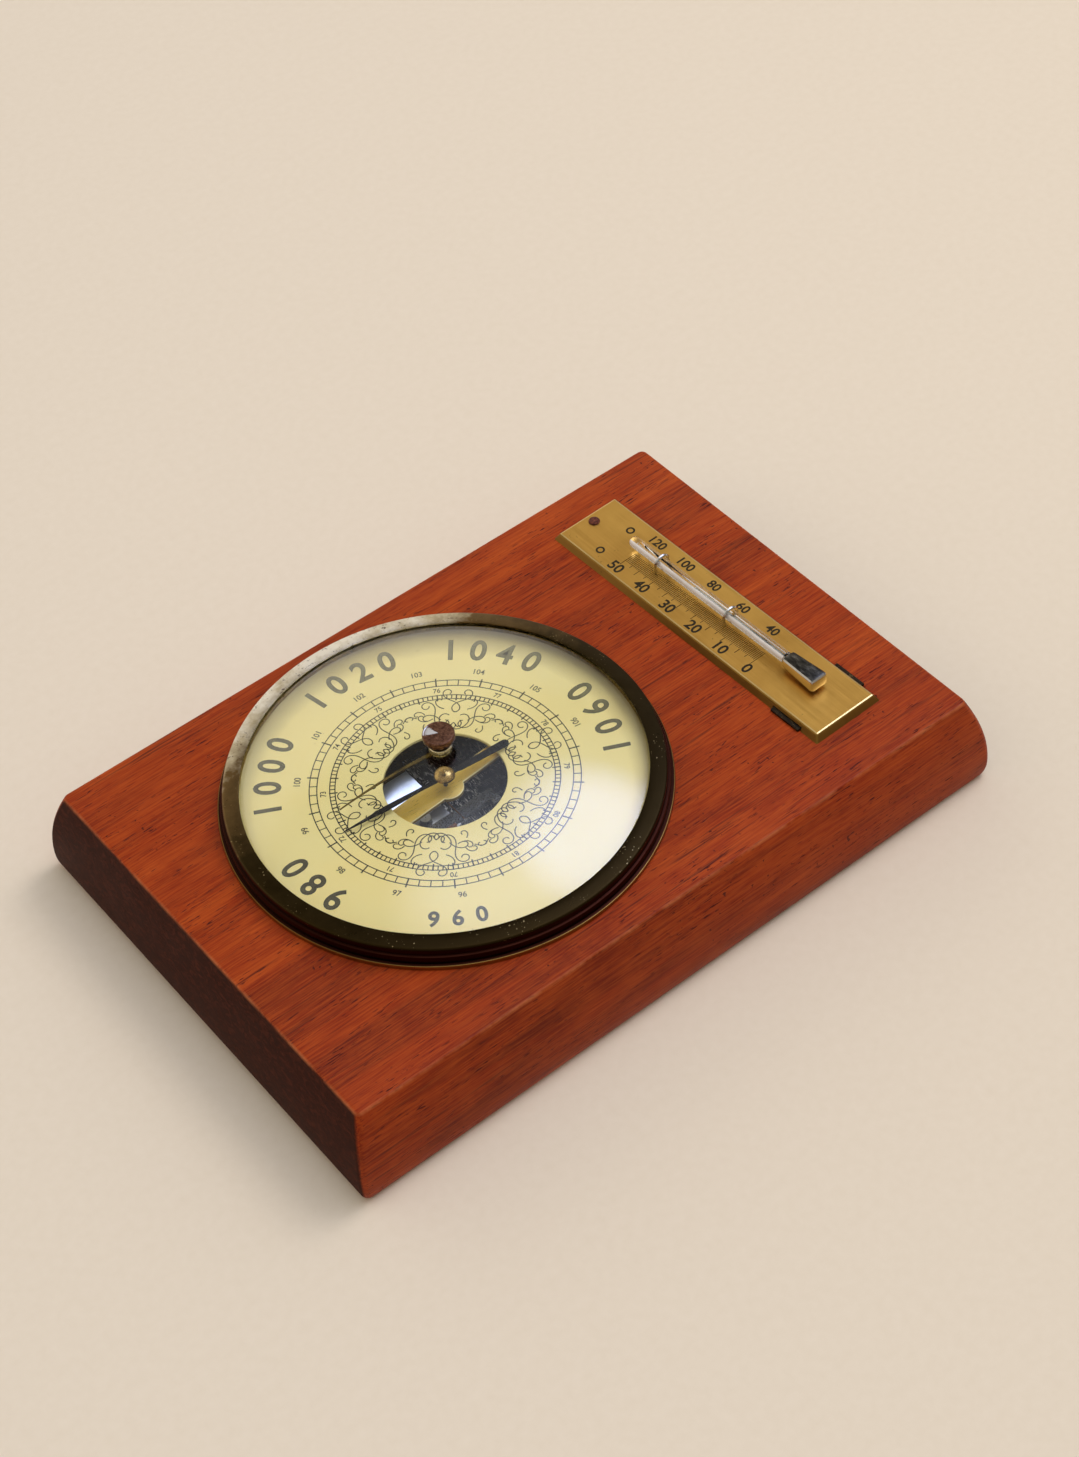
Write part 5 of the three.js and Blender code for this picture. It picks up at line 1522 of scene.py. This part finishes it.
    def scroll(self, name: str, start: Point, heading: float, length: float, bends: Point) -> Piece:
        """Inks one scroll whose curvature changes steadily from one end to the other.

        Args:
            name: The piece's name.
            start: Its first point in mm.
            heading: Its first direction in degrees.
            length: Its length in mm.
            bends: Curvature in 1/mm at its start, middle and end.

        Returns:
            The scroll as a thin inked line.
        """
        count = 44
        x, y = start
        way = math.radians(heading)
        points = [(x, y, self.face + 0.01)]
        for i in range(count):
            share = i / (count - 1)
            if share < 0.5:
                bend = bends[0] + (bends[1] - bends[0]) * 2 * share
            else:
                bend = bends[1] + (bends[2] - bends[1]) * (2 * share - 1)
            way += bend * length / count
            x += math.cos(way) * length / count
            y += math.sin(way) * length / count
            points.append((x, y, self.face + 0.01))
        return wired(name, points, 0.15, 0)

    def scrollwork(self) -> Piece:
        """Inks a spray of scrolls at the dial's right and copies it round the hole, every other one mirrored.

        Returns:
            The scrollwork as one piece.
        """
        first = joined("spray", *(self.scroll(f"stroke_{i}", *stroke) for i, stroke in enumerate(self.spray)))
        copies = [first]
        for i in range(1, self.sprays):
            take_up(first)
            bpy.ops.object.duplicate(linked=False)
            copy = bpy.context.active_object
            copy.scale = (1, -1 if i % 2 else 1, 1)
            copy.rotation_euler = (0, 0, math.radians(360 // self.sprays * i + (3 if i % 2 else 0)))
            bpy.ops.object.transform_apply(location=True, rotation=True, scale=True)
            copies.append(copy)
        return closed_up(joined("dial_scrollwork", *copies))

    def make(self) -> None:
        """Models the card and its print."""
        card = turned("dial_card", [
            (self.hole + 0.12, 1.4), (self.edge, 1.4), (self.edge, self.face), (self.hole + 0.15, self.face),
            (self.hole, 2.28), (self.hole, 1.5), (self.hole + 0.12, 1.4)], 160)
        on_dial(card, PAPER, "board", "dial_plate", slot="dial")
        outlines = self.large_numbers("dial_large_numbers", Ink.OUTLINE)
        for piece in (self.tracks(), outlines, self.small_numbers(), self.scrollwork()):
            on_dial(piece, INK, "board")
        on_dial(self.large_numbers("dial_number_bodies", Ink.SOLID), WASH, "board")


@dataclass
class SetHand:
    """The knob on top of the glass and the brass hand that it turns."""

    angle: float = 164.0
    course: Sequence[Point] = ((1.6, 14.65), (15.2, 12.325), (30.4, 5.4))
    boss_end: Point = (0.44, 1.2)
    tip_end: Point = (0.28, 0.3)

    def knob(self) -> Piece:
        """Turns the knob with its neck and the spigot through the glass.

        Returns:
            The knob.
        """
        return turned("knob", [
            (0, 13.65), (0.6, 13.65), (0.7, 13.75), (0.7, 14.95), (1.3, 14.95), (1.3, 18.2), (2.7, 18.2),
            (2.85, 18.35), (3.35, 19.5), (3.65, 20.0), (3.75, 20.2), (4.2, 20.2), (4.42, 20.3), (4.5, 20.5),
            (4.5, 21.85), (4.45, 22.05), (4.32, 22.2), (4.1, 22.28), (3.95, 22.26), (3.86, 22.2),
            (3.5, 22.24), (0, 22.3)], 96)

    def blade(self) -> Piece:
        """Extrudes the bowed blade from its boss to its tip.

        Returns:
            The blade.
        """
        start, bow, end = self.course
        x, z = start
        put_down()
        bpy.ops.mesh.primitive_plane_add(size=MM, location=mm(x, 0, z), rotation=(0, math.pi / 2, 0))
        piece = started("blade")
        open_mesh(piece)
        thick, wide = self.boss_end
        resize((1, wide, thick), x, 0, z)
        count = 28
        for i in range(1, count + 1):
            t = i / count
            nx, nz = ((1 - t) ** 2 * a + 2 * t * (1 - t) * b + t * t * c for a, b, c in zip(start, bow, end))
            extrude(nx - x, 0, nz - z)
            new_thick, new_wide = (a + (b - a) * t for a, b in zip(self.boss_end, self.tip_end))
            resize((1, new_wide / wide, new_thick / thick), nx, 0, nz)
            x, z, thick, wide = nx, nz, new_thick, new_wide
        return closed_up(piece, 50)

    def make(self) -> None:
        """Models the knob and the hand on the set hand's body."""
        on_dial(self.knob(), KNOB, "set_hand", "set_knob", slot="bronze")
        boss = turned("boss", [
            (1.0, 14.35), (2.1, 14.35), (2.2, 14.45), (2.2, 14.85), (2.1, 14.95), (1.0, 14.95),
            (1.0, 14.35)], 48)
        hand = joined("brass_set_hand", self.blade(), boss)
        on_dial(hand, HAND_BRASS, "set_hand", "set_hand", slot="brass", turn=self.angle)


@dataclass
class Pointer:
    """The black pointer and its domed cap."""

    angle: float = 175.9
    low: float = 3.8
    high: float = 4.2
    hub: float = 2.2
    arbor: float = 0.65
    side: Sequence[Point] = ((32.4, 0.1), (26.0, 0.42), (19.0, 0.85), (15.0, 0.8), (8.0, 0.55))
    tail: Sequence[Point] = (
        (-4.0, 0.62), (-5.2, 0.95), (-19.3, 1.25), (-20.2, 1.15), (-20.7, 0.8), (-21.0, 0.3))

    def blade(self) -> Piece:
        """Cuts the pointer from sheet: a slender blade, a round hub and a club tail.

        Returns:
            The pointer without its cap.
        """
        upper = [*self.side, *arc(self.hub, range(20, 161, 14)), *self.tail]
        outline = upper + [(x, -y) for x, y in reversed(upper)]
        piece = sheet_cut("black_pointer", outline, self.low, self.high, 0.07)
        return drilled(piece, drill(0, 0, self.arbor, 3, 5, 24))

    def make(self) -> None:
        """Models the blade and the cap on the pointer's body."""
        on_dial(self.blade(), POINTER_BLACK, "pointer", "pointer", slot="black_steel", turn=self.angle)
        cap = turned("domed_cap", [
            (0, 4.2), (2.9, 4.2), (3.0, 4.3), (3.0, 4.62), (2.93, 4.85), (2.75, 5.15), (2.45, 5.45),
            (2.05, 5.72), (1.6, 5.93), (1.1, 6.08), (0.72, 6.14), (0.6, 6.2), (0.56, 6.38), (0.45, 6.52),
            (0.25, 6.59), (0, 6.6)], 64)
        on_dial(cap, CAP_BRASS, "pointer", "pointer_cap", slot="brass")


@dataclass
class Movement:
    """The works seen through the hole; most stay as packed, with eased edges and their own metals."""

    turn: float = 3.8
    low: float = -0.9
    high: float = 0.5
    lobe: float = 4.4
    lobe_middle: Point = (0.0, -1.0)
    holes: Sequence[Point] = ((0, 0, 0.65), (-21.5, -19.5, 1.3), (24.5, 0, 1.3))
    metals: Sequence[tuple[Finish, Sequence[str]]] = (
        (STEEL, ("main_lever", "lever_link", "rocking_shaft", "post_pin", "pointer_arbor")),
        (STEEL, ("adjusting_screw", "bracket_screw")),
        (SMALL_BRASS, ("base_plate", "shaft_bracket", "hairspring_stud", "glass_retaining_ring")),
        (SMALL_BRASS, ("set_hand_nut", "bridge_pillar_left", "bridge_pillar_right")),
        (SPRING_STEEL, ("mainspring",)),
        (COPPER, ("compensating_strip",)),
        (BRONZE, ("chain", "hairspring")),
        (BLACK_STEEL, ("arbor_plate",)),
        (SILVERED, ("aneroid_capsule",)),
        (ZINC, ("hanger_plate",)),
        (BAR_BLACK, ("plate_lower_bracket",)),
    )
    rows: Sequence[tuple[str, int, Finish]] = (
        ("case_screw", 3, STEEL), ("base_screw", 3, STEEL), ("lever_screw", 2, STEEL),
        ("plate_screw", 3, STEEL), ("bridge_screw", 2, STEEL), ("spring_screw", 1, STEEL),
        ("plate_pillar", 3, SMALL_BRASS), ("hanger_screw", 2, ZINC),
    )

    def bridge(self) -> Piece:
        """Cuts the bridge from thick sheet, with its lobe and its leg, and eases its edges.

        Returns:
            The bridge.
        """
        outline = [
            (-25, -23), (-18, -23), (-18, -3.6), *arc(self.lobe, range(-144, -20, 8), self.lobe_middle),
            (4.15, -2.5), (27, -2.5), (27, 2.5), (2.64, 2.5),
            *arc(self.lobe, range(55, 125, 8), self.lobe_middle), (-6, 3.6), (-25, 3.6),
        ]
        piece = sheet_cut("brass_bridge", outline, self.low, self.high, 0.25)
        return drilled(piece, *(drill(x, y, radius, -2, 1.5, 24) for x, y, radius in self.holes))

    def ease(self, name: str, finish: Finish) -> None:
        """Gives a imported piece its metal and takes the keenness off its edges.

        Args:
            name: The piece's name.
            finish: Its finish.
        """
        node = bpy.data.objects[name]
        node.data.materials.clear()
        node.data.materials.append(finish.material())
        node.modifiers.new("weld", "WELD").merge_threshold = 0.001 * MM
        soft = node.modifiers.new("ease", "BEVEL")
        soft.width = 0.05 * MM
        soft.segments = 1
        soft.limit_method = "ANGLE"
        soft.angle_limit = math.radians(50)
        log.info("%s keeps its shape", name)

    def make(self) -> None:
        """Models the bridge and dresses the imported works."""
        on_dial(self.bridge(), BRIDGE_BRASS, "board", "bridge", slot="brass", turn=self.turn)
        for finish, names in self.metals:
            for name in names:
                self.ease(name, finish)
        for stem, count, finish in self.rows:
            for i in range(count):
                self.ease(f"{stem}_{i + 1}", finish)


@dataclass
class Thermometer:
    """The folded brass plate with its scale, tube, bulb, clips and nail; made in the plate's own frame."""

    length: float = 113.0
    width: float = 24.2
    height: float = 2.2
    sheet: float = 0.8
    slope: float = 1.3
    fold: float = 0.45
    radius: float = 1.8
    bore: float = 0.8
    tube_top: float = 36.0
    tube_foot: float = -30.3
    bulb_top: float = -30.6
    bulb_foot: float = -44.0
    column: float = 0.45
    column_top: float = 8.05
    ticks_top: float = 33.0
    tick_pace: float = 0.62
    ticks: int = 91
    tick_half: float = 0.09
    clips: Sequence[tuple[str, float]] = (("upper", 22.5), ("lower", -7.0))
    # each row: numbers, letter height, boldness, x, y of the first, step to the next
    rows: Sequence[tuple[Sequence[str], float, float, float, float, float]] = (
        (("50", "40", "30", "20", "10", "0"), 5.0, 0.12, -8.0, 33.0, 11.3),
        (("120", "100", "80", "60", "40"), 4.3, 0.1, 7.4, 32.0, 12.4),
    )

    def seat(self, piece: Piece, finish: Finish, *nodes: str, slot: str = "") -> None:
        """Seats a piece of the thermometer on the board and dresses it."""
        dressed(seated(piece, PLATE_PLACE, PLATE_TURN), finish, "board", *nodes, slot=slot)

    def plate(self) -> Piece:
        """Folds the plate: slanted skirts, eased folds, hollow below, notched for the bar.

        Returns:
            The plate.
        """
        half, long = self.width / 2, self.length / 2
        piece = block("brass_plate", (-half, -long, 0), (half, long, self.height))
        open_mesh(piece)
        choose(piece, Pick.FACES, lambda at, way: way.z > 0.9)
        grow = (1 - self.slope / half, 1 - self.slope / long, 1)
        resize(grow, 0, 0, self.height)
        choose(piece, Pick.FACES, lambda at, way: way.z < -0.9)
        bpy.ops.mesh.inset(thickness=self.sheet * MM)
        extrude(0, 0, self.height - self.sheet)
        resize(grow, 0, 0, self.height - self.sheet)
        choose(piece, Pick.EDGES, lambda at, way: at.z > self.height - 0.1 or abs(way.z) > 0.4 and at.z > 1)
        bevel(self.fold, 2)
        closed_up(piece)
        notch = block("notch", (-20, -49.8, -1), (20, -38.2, 1.1))
        drilled(piece, notch, drill(0, NAIL_Y, 1.0, -1, 5, 24))
        take_up(piece)
        bpy.ops.object.shade_flat()
        return piece

    def scale_marks(self) -> list[Piece]:
        """Engraves the ticks beside the tube: every fifth longer, every tenth longest.

        Returns:
            Three rows of ticks.
        """
        side = TUBE_X - 1.2
        rows = []
        for every, reach in ((1, 4.1), (5, 5.2), (10, 6.2)):
            count = (self.ticks - 1) // every + 1
            low = (TUBE_X - reach - 1.2, self.ticks_top - self.tick_half, self.height - PRINT_IN)
            tick = block("tick", low, (side, self.ticks_top + self.tick_half, self.height + PRINT_OUT))
            rows.append(repeated(tick, count, step=(0, -self.tick_pace * every, 0)))
        return rows

    def scale_numbers(self) -> Piece:
        """Engraves the two rows of numbers, which read down the plate, and a small ring over each row.

        Returns:
            The whole scale as one piece.
        """
        parts = self.scale_marks()
        for texts, size, bold, x, y, step in self.rows:
            for i, text in enumerate(texts):
                place = (x, y - step * i, self.height + 0.012)
                parts.append(seated(numeral(text, size, bold=bold), place, -90))
        low, high = self.height - PRINT_IN, self.height + PRINT_OUT
        for x in (-6.6, 5.2):
            ring = turned("degree_ring", [(0.8, low), (1.4, low), (1.4, high), (0.8, high), (0.8, low)], 32)
            parts.append(seated(ring, (x, 41.5, 0)))
        return joined("plate_scale", *parts)

    def tube(self) -> Piece:
        """Turns the glass tube with its round top and its bore.

        Returns:
            The tube.
        """
        top, foot, bore = self.tube_top, self.tube_foot, self.bore
        cap = arc(self.radius, range(0, 90, 10), (0, top - self.radius))
        neck = [(0, top), (0, top - 3.1), (0.45, top - 3.2), (bore, top - 3.7)]
        outline = [(bore, foot), (self.radius, foot), *cap, *neck, (bore, foot)]
        return turned("glass_tube", outline, 40, Axis.ALONG)

    def bulb(self) -> Piece:
        """Shapes the bulb: a block with wide bevels that narrows towards the tube.

        Returns:
            The bulb.
        """
        low = (TUBE_X - 3.1, self.bulb_foot, TUBE_LEVEL - 2.3)
        piece = block("metal_bulb", low, (TUBE_X + 3.1, self.bulb_top, TUBE_LEVEL + 2.3))
        open_mesh(piece)
        choose(piece, Pick.FACES, lambda at, way: way.y > 0.9)
        resize((0.78, 1, 0.78), TUBE_X, self.bulb_top, TUBE_LEVEL)
        bpy.ops.mesh.select_all(action="SELECT")
        bevel(1.1, 3)
        return closed_up(piece, 24)

    def clip(self, name: str, y: float) -> Piece:
        """Bends a wire clip over the tube, with both feet through the plate.

        Args:
            name: The piece's name.
            y: Its place along the tube.

        Returns:
            The clip.
        """
        r = self.radius + 0.68
        feet = [[(TUBE_X + side, y, z) for z in (1.6, TUBE_LEVEL - 0.6)] for side in (r, -r)]
        loop = [(x, y, z) for x, z in arc(r, range(0, 181, 12), (TUBE_X, TUBE_LEVEL))]
        return wired(name, [*feet[0], *loop, *reversed(feet[1])], 0.48, 3)

    def make(self) -> None:
        """Models the thermometer's pieces."""
        tube_line = (TUBE_X, 0, TUBE_LEVEL)
        self.seat(self.plate(), PLATE_BRASS, "thermometer_plate", slot="brass")
        self.seat(self.scale_numbers(), BLACK_INK)
        self.seat(seated(self.tube(), tube_line), TUBE_GLASS, "thermometer_tube", slot="glass")
        column = turned("silver_thread", [
            (0, self.bulb_top), (self.column, self.bulb_top), (self.column, self.column_top - 0.25),
            (0.3, self.column_top - 0.05), (0, self.column_top)], 20, Axis.ALONG)
        self.seat(seated(column, tube_line), COLUMN, "thermometer_column", slot="silver")
        self.seat(self.bulb(), BULB, "thermometer_bulb", slot="silver")
        for place, y in self.clips:
            self.seat(self.clip(f"wire_clip_{place}", y), WIRE_SILVER, f"tube_clip_{place}", slot="silver")
        nail = turned("rusty_nail", [
            (0, -7.8), (0.3, -7.4), (0.7, -6.0), (0.7, 2.25), (1.6, 2.25), (1.72, 2.4), (1.6, 2.62),
            (1.2, 2.84), (0.6, 2.92), (0, 2.94)], 32)
        self.seat(seated(nail, (0, NAIL_Y, 0)), RUST, "plate_nail", slot="rust")


@dataclass
class Studio:
    """Pale floor, a soft room with one glowing window, and the camera; its sizes are metres."""

    spot: Point = (-0.28680427, -0.44185711, 0.61639726)
    aim: Point = (42.13151515, 4.08908444, -38.32538101)
    lens: float = 70.0111
    lamp_place: Point = (0.85, 0.0, 1.36)
    lamp_size: float = 0.5
    lamp_power: float = 4.6
    # the window's direction, how near it the glow begins and how strong it gets, in three layers
    glows: Sequence[tuple[Point, float, float]] = (
        ((0.56, -0.02, 0.828), 0.93, 2.7), ((0.1, 0.0, 0.995), 0.92, 1.7), ((0.48, -0.05, 0.875), 0.74, 0.65))
    blue: float = 2.5
    sky: float = 0.65
    alcove: Point = (0.33, 0.47, 0.82)
    wall: float = 0.6
    wall_way: Point = (-0.26, 0.97, 0.0)

    def camera(self) -> None:
        """Sets the camera at the photograph's viewpoint."""
        put_down()
        bpy.ops.object.camera_add(location=self.spot, rotation=[math.radians(a) for a in self.aim])
        camera = bpy.context.active_object
        camera.data.lens = self.lens
        camera.data.sensor_width = 36.0
        camera.data.clip_start = 0.01
        bpy.context.scene.camera = camera

    def floor(self) -> None:
        """Lays the plain floor."""
        put_down()
        bpy.ops.mesh.primitive_plane_add(size=6.0, location=(0, 0, 0))
        floor = started("studio_floor")
        s = Surface("warm_white_floor", Roughness=0.9)
        s.wire(s.over("#dfd1ba", "#e5d8c3", s.add("TexNoise", 3, size=3)), "Base Color")
        floor.data.materials.append(s.material)

    def lamp(self) -> None:
        """Hangs a square soft lamp that faces the barometer and leaves its mirrors to the room."""
        put_down()
        bpy.ops.object.light_add(type="AREA", location=self.lamp_place)
        lamp = bpy.context.active_object
        lamp.name = "window_lamp"
        lamp.visible_glossy = False
        lamp.visible_transmission = False
        lamp.data.shape = "SQUARE"
        lamp.data.size = self.lamp_size
        lamp.data.energy = self.lamp_power
        lamp.data.color = linear("#fff0dc")[:3]
        lamp.rotation_euler = (-Vector(self.lamp_place)).to_track_quat("-Z", "Y").to_euler()

    def air(self) -> None:
        """Fills the room: a soft ceiling with a dim alcove, a wall behind, a window's glow and blue sky."""
        world = bpy.data.worlds.new("soft_room")
        bpy.context.scene.world = world
        world.use_nodes = True
        s = Nodes(world.node_tree, "Generated")
        way = s.add("VectorMath", s.place, operation="NORMALIZE")
        height = s.add("SeparateXYZ", way, out="Z")
        ceiling = s.add("MapRange", height, 0.1, 0.75, 0.45 * self.sky, self.sky, **SMOOTH)
        dim = s.add("VectorMath", way, self.alcove, **DOT)
        dim = s.add("MapRange", dim, 0.8, 0.95, 1.0, 0.35, **SMOOTH)
        flat = s.add("VectorMath", way, (1, 1, 0), **TIMES)
        flat = s.add("VectorMath", flat, operation="NORMALIZE")
        behind = s.add("MapRange", s.add("VectorMath", flat, self.wall_way, **DOT), 0.3, 0.65, **SMOOTH)
        low = s.add("MapRange", height, 0.72, 0.58, 0.0, self.wall, **SMOOTH)
        ceiling, wall = s.add("Math", ceiling, dim, **TIMES), s.add("Math", behind, low, **TIMES)
        room = s.add("Background", "#f8f1e6", s.add("Math", ceiling, wall))
        for place, reach, strength in self.glows:
            near = s.add("VectorMath", way, place, **DOT)
            glow = s.add("MapRange", near, reach, 0.998, 0.0, strength, **SMOOTH)
            room = s.add("AddShader", room, s.add("Background", "#dbe4ff", glow))
        # polished surfaces also mirror the blue of the sky in the middle of the window
        near = s.add("VectorMath", way, self.glows[0][0], **DOT)
        blue = s.add("MapRange", near, 0.925, 0.99, 0.0, self.blue, **SMOOTH)
        blue = s.add("Math", blue, s.add("LightPath", out="Is Glossy Ray"), **TIMES)
        room = s.add("AddShader", room, s.add("Background", "#7f9cff", blue))
        s.tree.links.new(room, s.tree.nodes["World Output"].inputs["Surface"])

    def make(self) -> None:
        """Sets up the studio."""
        self.camera()
        self.floor()
        self.lamp()
        self.air()
        bpy.context.scene.view_settings.view_transform = "Standard"


def main() -> None:
    """Builds the barometer and the studio, and notes the sizes."""
    logging.basicConfig(level=logging.INFO, format="%(message)s")
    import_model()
    for assembly in (Board(), Case(), Dial(), SetHand(), Pointer(), Movement(), Thermometer(), Studio()):
        log.info("making the %s", type(assembly).__name__)
        assembly.make()
    put_down()


if __name__ == "__main__":
    main()
